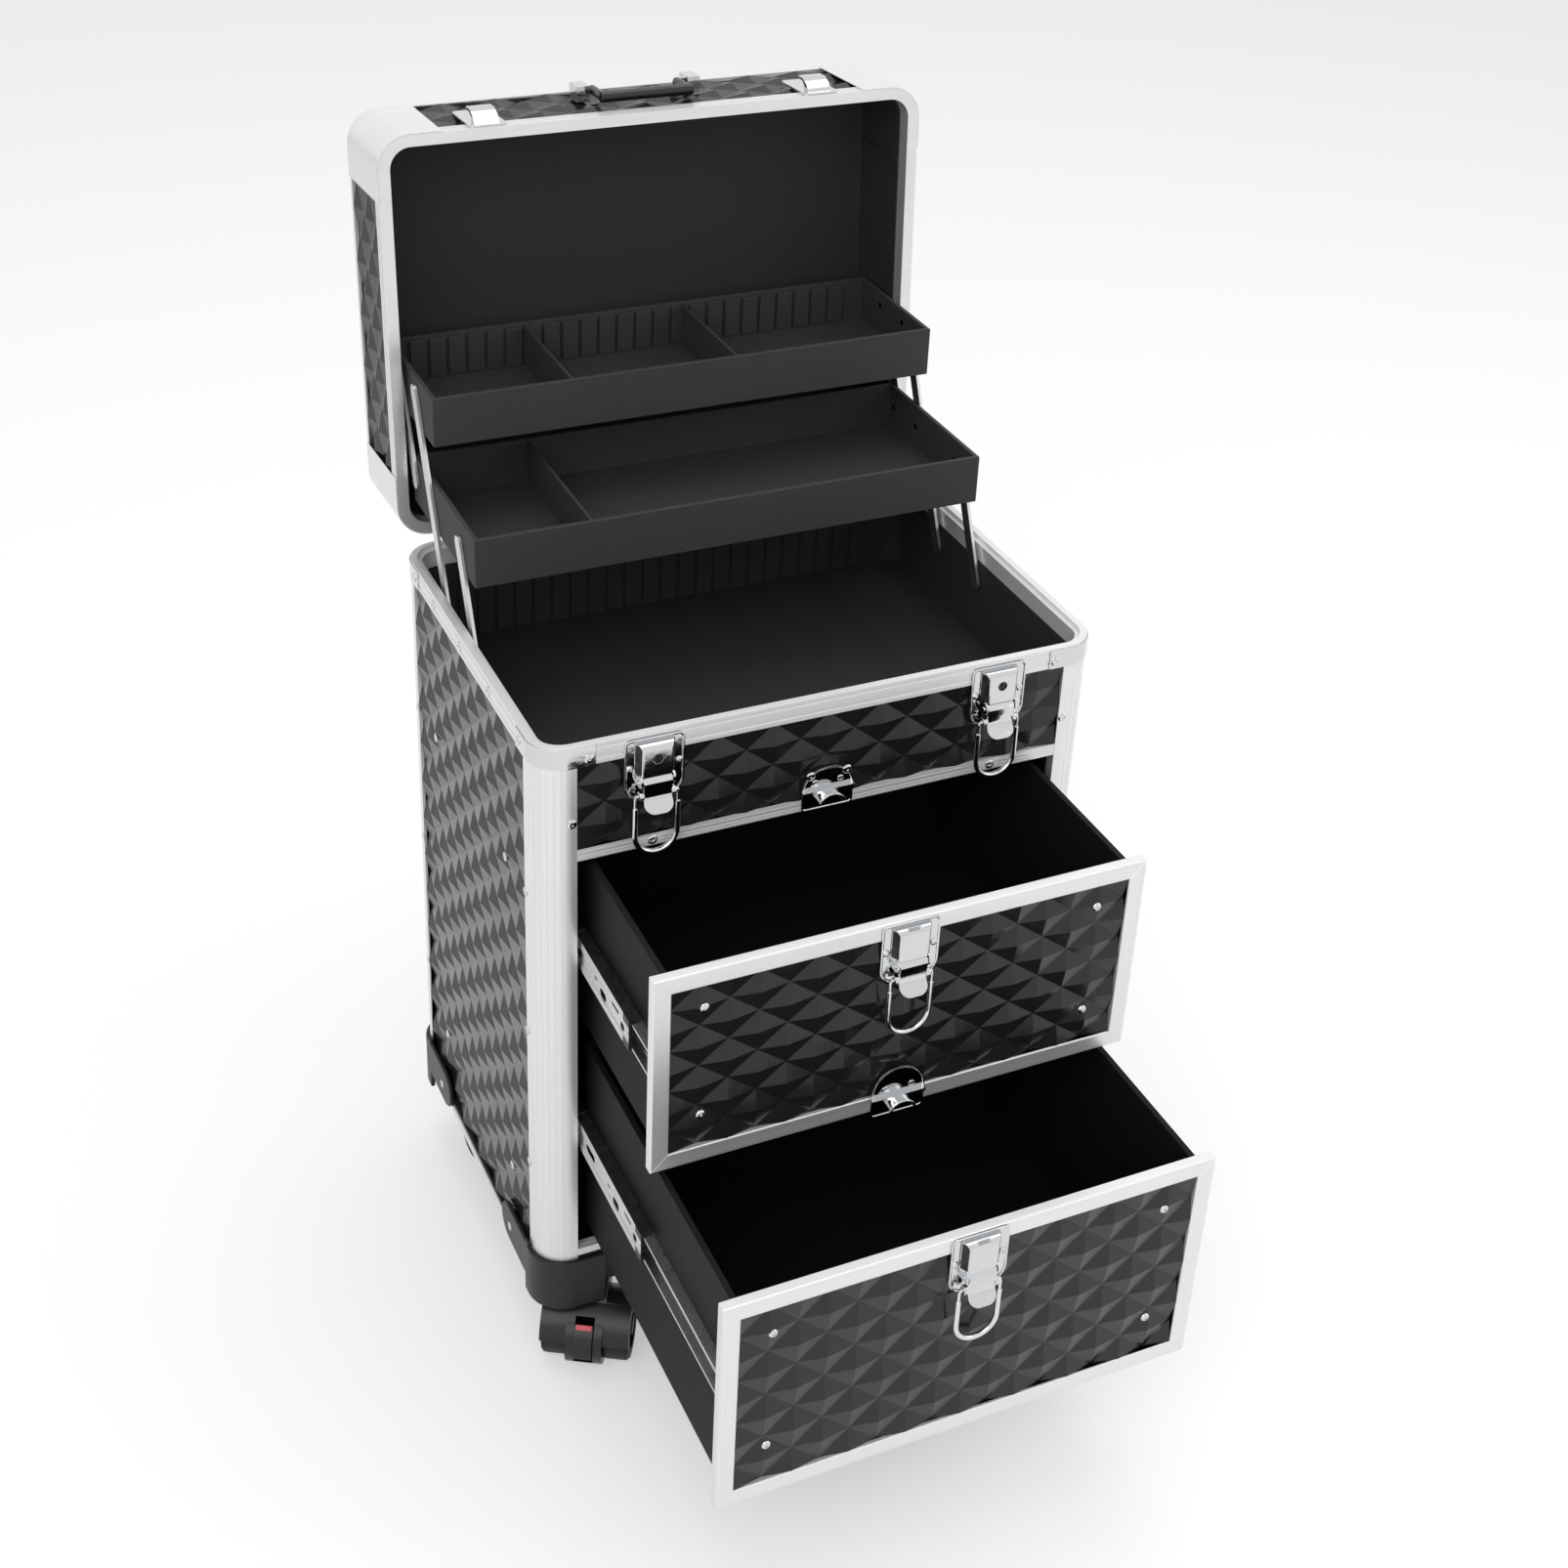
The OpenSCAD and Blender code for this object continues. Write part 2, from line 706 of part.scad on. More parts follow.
// Catch with a lip that opens upwards
module catch(w, h, lip_w) {
    translate([0, 0, h / 2]) rotate([90, 0, 0]) linear_extrude(latch_t)
        rounded_rect(w, h, 3);
    x_prism(lip_w) polygon([[-latch_t, 3], [-5.6, 6.4], [-8.6, 12], [-8.6, 20],
        [-6.9, 20], [-6.6, 13.4], [-4.4, 10.2], [-latch_t, 10.2]]);
}

module body_latch_plates() {
    color(chrome) {
        for (s = [-1, 1]) at_latch(s * latch_x, latch_body_z, 0) latch_plate(true);
        at_latch(0, panel_rail_z, 0) catch(rail_catch[0], rail_catch[1], rail_catch[2]);
    }
}

module left_lever() color(chrome) at_latch(-latch_x, latch_body_z, 0) latch_lever();
module right_lever() color(chrome) at_latch(latch_x, latch_body_z, 0) latch_lever();
module left_bail() color(steel) at_latch(-latch_x, latch_body_z, 0) latch_bail();
module right_bail() color(steel) at_latch(latch_x, latch_body_z, 0) latch_bail();

// Slides: three nested channels, at half width x and centred on z = 0
module channel(x_web, x_open, h) {
    y = [box_front_y, box_front_y + slide_l];
    x = [min(x_web, x_open), max(x_web, x_open)];
    block(x, y, [h / 2 - slide_sheet, h / 2]);
    block(x, y, [-h / 2, slide_sheet - h / 2]);
    block(x_open > x_web ? [x[0], x[0] + slide_sheet] : [x[1] - slide_sheet, x[1]],
        y, [-h / 2, h / 2]);
}

function slide_z(d) = d[1] + d[2] - slide_drop;
inner_slide_h = slide_h - 4 * (slide_sheet + slide_play);
middle_slide_h = slide_h - 2 * (slide_sheet + slide_play);
lap = slide_sheet + slide_play;

module slide_outer_rails() {
    color(steel) in_case() both_sides() for (d = [drawer_1, drawer_2])
        translate([0, 0, slide_z(d)]) channel(open_x, open_x - slide_t + 2, slide_h);
}

module middle_rails(d, share) {
    color(black) in_case() translate([0, -d[0] * share, slide_z(d)]) both_sides()
        channel(open_x - lap, open_x - slide_t + 1, middle_slide_h);
}

module drawer_slide_rails(d) {
    color(steel) in_case() translate([0, -d[0], slide_z(d)]) both_sides()
        channel(box_x, open_x - 2 * lap, inner_slide_h);
}

// Drawers
module drawer_box(d) {
    low = d[1] + box_lift;
    high = d[1] + d[2] - box_drop;
    back = box_front_y + box_d;
    color(black) in_case() translate([0, -d[0], 0]) {
        block([frame_w - front_w / 2, front_w / 2 - frame_w],
            [box_front_y - front_t, box_front_y], [d[1] + frame_w, d[1] + d[2] - frame_w]);
        block([-box_x, box_x], [box_front_y, box_front_y + lining_t], [low, high]);
        block([-box_x, box_x], [box_front_y, back], [low, low + box_t]);
        both_sides() block([box_x - box_t, box_x], [box_front_y, back], [low + box_t, high]);
        block([box_t - box_x, box_x - box_t], [back - box_t, back], [low + box_t, high]);
    }
}

// Mitred frame: a profile carried round a rectangle
module drawer_frame(d) {
    profile = [[0, 0], [0, frame_t - 1.6], [1.6, frame_t], [frame_w - 1.6, frame_t],
        [frame_w, frame_t - 1.4], [frame_w, 0]];
    n = len(profile);
    points = [for (c = [[-1, -1], [1, -1], [1, 1], [-1, 1]], q = profile)
        [c[0] * (front_w / 2 - q[0]), -q[1], c[1] * (d[2] / 2 - q[0])]];
    faces = [for (k = [0 : 3], i = [0 : n - 1])
        [k * n + i, k * n + (i + 1) % n,
            ((k + 1) % 4) * n + (i + 1) % n, ((k + 1) % 4) * n + i]];
    color(silver) in_case() translate([0, frame_t - half_d - d[0], d[1] + d[2] / 2])
        polyhedron(points, faces, convexity = 6);
}

module drawer_skin(d) {
    color(gloss_black) in_case() translate([0, -d[0], d[1] + d[2] / 2])
        front_facing(box_front_y - front_t)
            diamond_skin(front_w - 2 * frame_w, d[2] - 2 * frame_w);
}

function drawer_latch_z(d) = d[1] + d[2] - gap - latch_h;

module drawer_rivets(d) {
    y = box_front_y - front_t - skin_t - d[0];
    x = front_w / 2 - frame_w - 20;
    in_case() for (s = [-1, 1], t = [0.24, 0.81])
        front_rivet(s * x, d[1] + t * d[2], y + rivet_depth(s * x, (t - 0.5) * d[2],
            front_w - 2 * frame_w, d[2] - 2 * frame_w));
}

module drawer_1_box() drawer_box(drawer_1);
module drawer_1_frame() drawer_frame(drawer_1);
module drawer_1_skin() drawer_skin(drawer_1);
module drawer_1_slide_rails() drawer_slide_rails(drawer_1);
module drawer_1_middle_rails() middle_rails(drawer_1, middle_1_share);
module drawer_2_box() drawer_box(drawer_2);
module drawer_2_frame() drawer_frame(drawer_2);
module drawer_2_skin() drawer_skin(drawer_2);
module drawer_2_slide_rails() drawer_slide_rails(drawer_2);
module drawer_2_middle_rails() middle_rails(drawer_2, middle_2_share);

module drawer_1_latch_fittings() {
    color(chrome) {
        at_latch(0, drawer_latch_z(drawer_1), drawer_1_out) latch_plate(false);
        at_latch(0, drawer_1_z - drawer_catch_drop, drawer_1_out)
            catch(drawer_catch[0], drawer_catch[1], drawer_catch[2]);
        drawer_rivets(drawer_1);
    }
}

module drawer_2_latch_plate() {
    color(chrome) {
        at_latch(0, drawer_latch_z(drawer_2), drawer_2_out) latch_plate(false);
        drawer_rivets(drawer_2);
    }
}

module drawer_1_lever()
    color(chrome) at_latch(0, drawer_latch_z(drawer_1), drawer_1_out) latch_lever();
module drawer_2_lever()
    color(chrome) at_latch(0, drawer_latch_z(drawer_2), drawer_2_out) latch_lever();
module drawer_1_bail()
    color(steel) at_latch(0, drawer_latch_z(drawer_1), drawer_1_out) latch_bail();
module drawer_2_bail()
    color(steel) at_latch(0, drawer_latch_z(drawer_2), drawer_2_out) latch_bail();

// Hinges: the body carries the pin and the outer knuckles
module at_hinges() in_case() for (s = [-1, 1])
    translate([s * hinge_x, hinge_y, hinge_z]) children();

module hinge_knuckle(l, up) {
    x_rod(knuckle_r, l);
    block([-l / 2, l / 2], [-hinge_out, 0], up ? [gap, 5] : [-5, -gap]);
}

module hinge_leaf(up) {
    block([-hinge_l / 2, hinge_l / 2], [-hinge_out, leaf_t - hinge_out],
        up ? [4.5, leaf_l] : [-leaf_l, -4.5]);
}

module hinge_body_leaves() {
    third = hinge_l / 3;
    color(steel) at_hinges() {
        for (s = [-1, 1]) translate([s * third, 0, 0]) hinge_knuckle(third - gap, false);
        x_rod(hinge_pin_r, hinge_l);
        hinge_leaf(false);
    }
}

module hinge_lid_leaves() {
    color(steel) at_lid() translate([0, hinge_y, -lid_gap / 2]) for (s = [-1, 1])
        translate([s * hinge_x, 0, 0]) difference() {
            union() {
                hinge_knuckle(hinge_l / 3 - gap, true);
                hinge_leaf(true);
            }
            x_rod(hinge_pin_r + pin_play, hinge_l);
        }
}

// Lid, drawn closed with its mouth at z = 0 and turned open about its hinge
module at_lid() in_case() translate([0, hinge_y, hinge_z]) rotate([-lid_angle, 0, 0])
    translate([0, -hinge_y, lid_gap / 2]) children();

module lid_boards() {
    color(black) at_lid() {
        both_sides() block([inner_x, half_w - skin_t], [-open_y, open_y],
            [lid_rim_h, lid_h - wall]);
        for (s = [0, 1]) if_mirrored(s == 1, [0, 1, 0])
            block([-open_x, open_x], [inner_y, half_d - skin_t], [lid_rim_h, lid_h - wall]);
        translate([0, 0, lid_h - wall]) linear_extrude(board_t)
            rounded_rect(body_w - 2 * edge_r, body_d - 2 * edge_r, corner_r - edge_r);
    }
}

module lid_skins() {
    h = lid_h - edge_w - lid_rim_h;
    color(gloss_black) at_lid() {
        translate([0, 0, lid_rim_h + h / 2]) {
            both_sides() side_facing(half_w - skin_t) diamond_skin(2 * open_y, h);
            front_facing(skin_t - half_d) diamond_skin(2 * open_x, h);
            back_facing(half_d - skin_t) diamond_skin(2 * open_x, h);
        }
        translate([0, 0, lid_h - skin_t])
            diamond_skin(body_w - 2 * top_skin_in, body_d - 2 * top_skin_in);
    }
}

module lid_rim() {
    color(silver) at_lid() rim_sweep(body_w, body_d, corner_r) difference() {
        translate([-wall, 0]) square([wall, lid_rim_h]);
        for (h = [3, lid_rim_h - 4])
            translate([-ridge[1], h]) square([ridge[1], ridge[0]]);
    }
}

module lid_edge_frame() {
    color(silver) at_lid() {
        rim_sweep(body_w, body_d, corner_r)
            translate([0, lid_h]) corner_profile(edge_w, edge_r, skin_t);
        at_corners(body_w, body_d) translate([0, 0, lid_rim_h])
            linear_extrude(lid_h - edge_w - lid_rim_h) column_section();
    }
}

module lid_corner_wraps() {
    color(chrome) at_lid() corner_wrap(wrap_w, 0, lid_h - edge_r);
}

module lid_front_fittings() {
    color(chrome) at_lid() translate([0, -half_d, 0]) {
        for (s = [-1, 1]) translate([s * latch_x, 0, catch_foot])
            catch(lid_catch[0], lid_catch[1], lid_catch[2]);
        both_sides() difference() {
            block([lid_handle_l / 2 + gap, lid_handle_l / 2 + gap + bracket_w],
                [-bracket_out, 0], bracket_z);
            translate([lid_handle_l / 2, -handle_out, handle_pivot_z])
                x_rod(handle_pin_r + pin_play, 2 * handle_pin_in);
        }
    }
}

module lid_handle() {
    leg_x = lid_handle_l / 2 - handle_leg_in;
    color(gloss_black) at_lid() translate([0, -half_d - handle_out, 0]) {
        translate([0, 0, handle_bar_z]) x_rod(lid_handle_r, lid_handle_l - handle_leg_in);
        both_sides() {
            translate([leg_x, 0, handle_bar_z])
                cylinder(r = handle_leg_r, h = handle_pivot_z - handle_bar_z);
            translate([leg_x, 0, handle_pivot_z]) sphere(r = handle_leg_r);
            translate([leg_x, 0, handle_pivot_z]) rotate([0, 90, 0])
                cylinder(r = handle_pin_r, h = handle_leg_in + handle_pin_in - 1);
        }
    }
}

// Trays, each drawn with its pivot for the long arm at the origin of the plane
module tray(pivot, pivot_in, pivot_h, depth, dividers, ribs) {
    front = pivot[0] - pivot_in;
    low = pivot[1] - pivot_h;
    difference() {
        union() {
            block([-tray_x, tray_x], [front, front + depth], [low, low + tray_t]);
            both_sides() block([tray_x - tray_t, tray_x], [front, front + depth],
                [low + tray_t, low + tray_h]);
            for (y = [front, front + depth - tray_t])
                block([tray_t - tray_x, tray_x - tray_t], [y, y + tray_t],
                    [low + tray_t, low + tray_h]);
            for (x = dividers)
                block([x - divider_t / 2, x + divider_t / 2],
                    [front + tray_t, front + depth - tray_t],
                    [low + tray_t, low + tray_h - 4]);
            if (ribs) for (x = [rib_pitch - tray_x : rib_pitch : tray_x - rib_pitch])
                block([x - rib_t / 2, x + rib_t / 2],
                    [front + depth - tray_t - rib_t, front + depth - tray_t],
                    [low + tray_t, low + tray_h - 4]);
        }
        children();
    }
}

module side_bores(p) translate([0, p[0], p[1]]) x_rod(arm_pin_r + pin_play, body_w);

module lower_tray() {
    color(black) in_case()
        tray(low_pivot, arm_base + low_pivot_in, low_pivot_h, lower_tray_d, [-95], false) {
            side_bores(low_pivot);
            side_bores(low_pivot - [arm_base, 0]);
            side_bores(low_pivot + [rear_reach, 0]);
        }
}

module upper_tray() {
    color(black) in_case()
        tray(high_pivot, high_pivot_in, high_pivot_h, upper_tray_d, [-79, 33], true) {
            side_bores(high_pivot);
            side_bores(high_pivot + [rear_reach, 0]);
        }
}

// Flat bars with round ends, with their pins
module bar(foot, l) {
    translate([0, foot[0], foot[1]]) rotate([-arm_lean, 0, 0])
        translate([arm_x, 0, 0]) rotate([90, 0, 90]) linear_extrude(arm_t) {
            translate([-arm_w / 2, 0]) square([arm_w, l]);
            circle(arm_w / 2);
            translate([0, l]) circle(arm_w / 2);
        }
}

module tray_pin(p) translate([arm_x + arm_t / 2, p[0], p[1]]) rotate([0, -90, 0])
    cylinder(r = arm_pin_r, h = arm_t / 2 + gap + tray_t);

module wall_pin(p) translate([arm_x + arm_t / 2, p[0], p[1]]) rotate([0, 90, 0])
    cylinder(r = arm_pin_r, h = inner_x - arm_x - arm_t / 2 + board_t - gap);

module long_arms() {
    color(zinc) in_case() both_sides() {
        bar([arm_pivot_y, arm_pivot_z], arm_low_l + arm_high_l);
        wall_pin([arm_pivot_y, arm_pivot_z]);
        tray_pin(low_pivot);
        tray_pin(high_pivot);
    }
}

module front_arms() {
    color(zinc) in_case() both_sides() {
        bar([arm_pivot_y - arm_base, arm_pivot_z], arm_low_l);
        wall_pin([arm_pivot_y - arm_base, arm_pivot_z]);
        tray_pin(low_pivot - [arm_base, 0]);
    }
}

module rear_arms() {
    color(zinc) in_case() both_sides() {
        bar(low_pivot + [rear_reach, 0], arm_high_l);
        tray_pin(low_pivot + [rear_reach, 0]);
        tray_pin(high_pivot + [rear_reach, 0]);
    }
}

// Casters: X is the way the wheels trail behind the stem
module at_caster(sx, sy, turn)
    in_case() translate([sx * caster_x, sy * caster_y, 0]) rotate(turn) children();

module caster_spine() {
    r = wheel_r - 2;
    polygon([[-12, caster_h - 5], [14, caster_h - 5], [caster_trail + 14, wheel_r + r - 2],
        [caster_trail + 6, wheel_r], [caster_trail - 6, wheel_r],
        [caster_trail - 16, wheel_r + r - 2]]);
    for (x = [0, nose]) translate([caster_trail + x, wheel_r]) circle(r);
    translate([caster_trail, wheel_r - r]) square([nose, 2 * r]);
}

module caster_fork(braked) {
    difference() {
        union() {
            translate([0, 0, caster_h - gap]) cylinder(r = stem_r, h = base_t - gap);
            translate([0, 0, caster_h - 5]) cylinder(r = 15, h = 5 - gap);
            translate([0, web_t / 2, 0]) rotate([90, 0, 0]) linear_extrude(web_t) caster_spine();
            translate([caster_trail, wheel_w + web_t / 2 + gap, wheel_r])
                rotate([90, 0, 0]) linear_extrude(2 * wheel_w + web_t + 2 * gap)
                    intersection() {
                        difference() {
                            circle(wheel_r + 1 + hood_t);
                            circle(wheel_r + 1);
                        }
                        translate([-2 * wheel_r, 4]) square([4 * wheel_r, 2 * wheel_r]);
                    }
        }
        translate([caster_trail, 0, wheel_r]) rotate([90, 0, 0])
            cylinder(r = axle_r + pin_play, h = web_t + 2, center = true);
        if (braked) translate([caster_trail + brake_x, 0, wheel_r]) {
            block([-4.6, 2 * wheel_r], [-brake_w / 2 - gap, brake_w / 2 + gap],
                [10 - wheel_r, wheel_r - 2.5]);
            rotate([90, 0, 0])
                cylinder(r = brake_pin_r + pin_play, h = brake_w + 4 + 2 * gap, center = true);
        }
    }
}

module caster_wheels() {
    translate([caster_trail, 0, wheel_r]) rotate([90, 0, 0]) {
        cylinder(r = axle_r, h = 2 * wheel_w + web_t, center = true);
        both_ends() translate([0, 0, web_t / 2 + gap]) rotate_extrude() difference() {
            square([wheel_r, wheel_w - gap]);
            translate([wheel_r - 1.5, wheel_w - gap - 1.5]) square(2);
            translate([axle_r + 3, wheel_w - 3]) square([9, 4]);
        }
    }
}

module both_ends() {
    children();
    mirror([0, 0, 1]) children();
}

// Brake pedal in the slot of the spine, on its own pin ahead of the axle
module brake_tab() {
    translate([caster_trail + brake_x, 0, wheel_r]) rotate([90, 0, 0]) {
        linear_extrude(brake_w, center = true) {
            circle(4);
            polygon([[0, -4], [20, -1.5], [20, 6], [0, 4.4]]);
            intersection() {
                translate([nose - brake_x, 0]) difference() {
                    circle(wheel_r + 1.2);
                    circle(wheel_r - 1.7);
                }
                polygon([[0, 0], [40, -4], [40, 30], [24, 34]]);
            }
        }
        cylinder(r = brake_pin_r, h = brake_w + 4, center = true);
    }
}

turns = [-120, 180, -90, -120];
module front_left_fork() color(black) at_caster(-1, -1, turns[0]) caster_fork(true);
module front_right_fork() color(black) at_caster(1, -1, turns[1]) caster_fork(true);
module rear_left_fork() color(black) at_caster(-1, 1, turns[2]) caster_fork(false);
module rear_right_fork() color(black) at_caster(1, 1, turns[3]) caster_fork(false);
module front_left_wheels() color(gloss_black) at_caster(-1, -1, turns[0]) caster_wheels();
module front_right_wheels() color(gloss_black) at_caster(1, -1, turns[1]) caster_wheels();
module rear_left_wheels() color(gloss_black) at_caster(-1, 1, turns[2]) caster_wheels();
module rear_right_wheels() color(gloss_black) at_caster(1, 1, turns[3]) caster_wheels();
module left_brake_tab() color(red) at_caster(-1, -1, turns[0]) brake_tab();
module right_brake_tab() color(red) at_caster(1, -1, turns[1]) brake_tab();

// Trolley handle: outer tubes in two brackets on the back, and a grip on inner tubes
module at_tubes() both_sides() translate([trolley_w / 2, trolley_y, 0]) children();

module trolley_guides() {
    bar_x = trolley_w / 2 + trolley_r + 6;
    color(black) in_case() difference() {
        union() {
            for (z = [trolley_z, trolley_top - 16])
                block([-bar_x, bar_x], [half_d, trolley_y + trolley_r + 3], [z, z + 16]);
            at_tubes() translate([0, 0, trolley_z]) cylinder(r = trolley_r, h = trolley_l);
        }
        at_tubes() translate([0, 0, trolley_z + 4])
            cylinder(r = trolley_r - trolley_wall, h = trolley_l);
        block([14 + trolley_r - trolley_w / 2, trolley_w / 2 - trolley_r - 14],
            [half_d + 4, trolley_y + trolley_r + 4], [trolley_z - 1, trolley_top + 1]);
    }
}

module trolley_handle() {
    grip_x = trolley_w / 2 + trolley_r + 6;
    color(gloss_black) in_case() {
        difference() {
            block([-grip_x, grip_x], [half_d + 2, trolley_y + trolley_r + 3],
                [trolley_top + gap, trolley_top + gap + grip_h]);
            block([-button_w / 2 - gap, button_w / 2 + gap],
                [trolley_y - 5 - gap, trolley_y + 5 + gap],
                [trolley_top + gap + 6, trolley_top + gap + grip_h + 1]);
        }
        at_tubes() translate([0, 0, trolley_z + 10])
            cylinder(r = inner_tube_r, h = trolley_l - 10 + gap);
    }
}

module trolley_button() {
    color(steel) in_case()
        block([-button_w / 2, button_w / 2], [trolley_y - 5, trolley_y + 5],
            [trolley_top + gap + 10, trolley_top + gap + grip_h + 2]);
}

// Drawing
wall_boards();
floor_boards();
side_skins();
front_skin();
back_skin();
corner_columns();
top_rim();
rim_corner_wraps();
front_rails();
corner_guards();
body_rivets();
body_latch_plates();
slide_outer_rails();
hinge_body_leaves();
trolley_guides();
trolley_handle();
trolley_button();
lid_boards();
lid_skins();
lid_rim();
lid_edge_frame();
lid_corner_wraps();
lid_front_fittings();
hinge_lid_leaves();
lid_handle();
drawer_1_box();
drawer_1_frame();
drawer_1_skin();
drawer_1_slide_rails();
drawer_1_latch_fittings();
drawer_1_middle_rails();
drawer_2_box();
drawer_2_frame();
drawer_2_skin();
drawer_2_slide_rails();
drawer_2_latch_plate();
drawer_2_middle_rails();
left_lever();
right_lever();
drawer_1_lever();
drawer_2_lever();
left_bail();
right_bail();
drawer_1_bail();
drawer_2_bail();
lower_tray();
upper_tray();
long_arms();
front_arms();
rear_arms();
front_left_fork();
front_right_fork();
rear_left_fork();
rear_right_fork();
front_left_wheels();
front_right_wheels();
rear_left_wheels();
rear_right_wheels();
left_brake_tab();
right_brake_tab();
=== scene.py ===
"""Looks of a rolling vanity case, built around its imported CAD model.

The case stands open: lid up, trays raised and both drawers pulled out. All
lengths are in metres, in the CAD model's own frame: X runs to the right seen
from the front, the front faces -Y and +Z is up. Each sub-assembly is a class
that builds its pieces and dresses them; main() builds them in order.
"""

import json
import logging
import math
from collections.abc import Callable, Iterator, Sequence
from contextlib import contextmanager
from dataclasses import dataclass, field
from enum import Enum

import bmesh
import bpy
from mathutils import Matrix, Vector

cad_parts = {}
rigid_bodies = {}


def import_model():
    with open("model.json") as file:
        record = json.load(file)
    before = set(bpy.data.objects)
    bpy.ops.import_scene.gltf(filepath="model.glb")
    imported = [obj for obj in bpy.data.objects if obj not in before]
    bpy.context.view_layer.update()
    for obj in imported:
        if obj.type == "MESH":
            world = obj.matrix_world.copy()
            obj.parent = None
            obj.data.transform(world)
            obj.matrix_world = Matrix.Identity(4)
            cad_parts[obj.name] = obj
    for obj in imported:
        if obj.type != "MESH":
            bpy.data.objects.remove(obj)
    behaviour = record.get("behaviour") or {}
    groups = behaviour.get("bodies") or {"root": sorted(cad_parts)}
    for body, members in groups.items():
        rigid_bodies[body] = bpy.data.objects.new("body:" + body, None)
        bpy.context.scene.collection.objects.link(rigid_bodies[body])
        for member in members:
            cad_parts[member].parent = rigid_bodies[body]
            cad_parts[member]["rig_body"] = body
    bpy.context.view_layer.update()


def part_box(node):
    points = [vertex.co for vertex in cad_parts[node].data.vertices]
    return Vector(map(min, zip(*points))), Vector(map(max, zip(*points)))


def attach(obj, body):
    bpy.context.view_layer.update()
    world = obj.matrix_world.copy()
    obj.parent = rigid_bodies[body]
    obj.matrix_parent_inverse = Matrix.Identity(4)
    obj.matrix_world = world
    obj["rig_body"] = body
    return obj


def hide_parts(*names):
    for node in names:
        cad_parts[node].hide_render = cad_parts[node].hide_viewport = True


LOG = logging.getLogger("vanity_case")
MM = 0.001
IMAGE_SIDE = 1605
SENSOR_WIDTH = 36.0

Point = Sequence[float]
FaceTest = Callable[[Vector, Vector], bool]
EdgeTest = Callable[[Vector, Vector], bool]


@dataclass(frozen=True)
class CaseSizes:
    """Sizes of the case that more than one sub-assembly needs, as in the CAD."""

    half_w: float = 182.5 * MM
    half_d: float = 131.0 * MM
    middle_y: float = 69.2056 * MM
    corner_r: float = 21.0 * MM
    column: float = 24.0 * MM
    wall: float = 7.5 * MM
    skin_t: float = 3.5 * MM
    base_z: float = 65.0 * MM
    panel_z: float = 73.0 * MM
    foot_z: float = 90.0 * MM
    compartment_z: float = 410.1 * MM
    rim_z: float = 467.0 * MM
    top_z: float = 481.0 * MM
    hinge_out: float = 4.0 * MM
    lid_gap: float = 0.3 * MM
    lid_angle: float = math.radians(93.3)
    lid_h: float = 74.0 * MM
    lid_rim_h: float = 11.0 * MM

    @property
    def inner_x(self) -> float:
        """Half of the clear width between the wall boards."""
        return self.half_w - self.wall

    @property
    def inner_y(self) -> float:
        """Half of the clear depth between the wall boards."""
        return self.half_d - self.wall

    @property
    def open_x(self) -> float:
        """Half of the opening between the corner columns."""
        return self.half_w - self.column

    @property
    def front_y(self) -> float:
        """The plane of the front of the body."""
        return self.middle_y - self.half_d

    def lid_matrix(self) -> Matrix:
        """Takes the lid, drawn closed with its mouth at z = 0, to where it stands.

        Returns:
            The matrix from the lid's own frame, centred on the body, to the row's.
        """
        hinge_y = self.half_d + self.hinge_out
        hinge = Vector((0, self.middle_y + hinge_y, self.top_z + self.lid_gap / 2))
        turn = Matrix.Rotation(-self.lid_angle, 4, "X")
        shift = Matrix.Translation((0, -hinge_y, self.lid_gap / 2))
        return Matrix.Translation(hinge) @ turn @ shift


CASE = CaseSizes()


class Slot(Enum):
    """Material slots of the record."""

    BOARD = "black_board"
    SKIN = "embossed_skin"
    ALUMINIUM = "brushed_aluminium"
    CHROME = "chrome_fittings"
    WIRE = "steel_wire"
    SLIDE = "slide_steel"
    BLACK_STEEL = "black_steel"
    PLASTIC = "black_plastic"
    TREAD = "wheel_tread"
    RED = "red_plastic"


class Grain(Enum):
    """Which way the brush marks of a metal run, with how close they lie."""

    ALONG_X = (9.0, 1500.0, 1500.0)
    ALONG_Z = (1500.0, 1500.0, 9.0)
    LEVEL = (14.0, 14.0, 1500.0)
    LID_LEVEL = (14.0, 1500.0, 14.0)


# Shader graphs


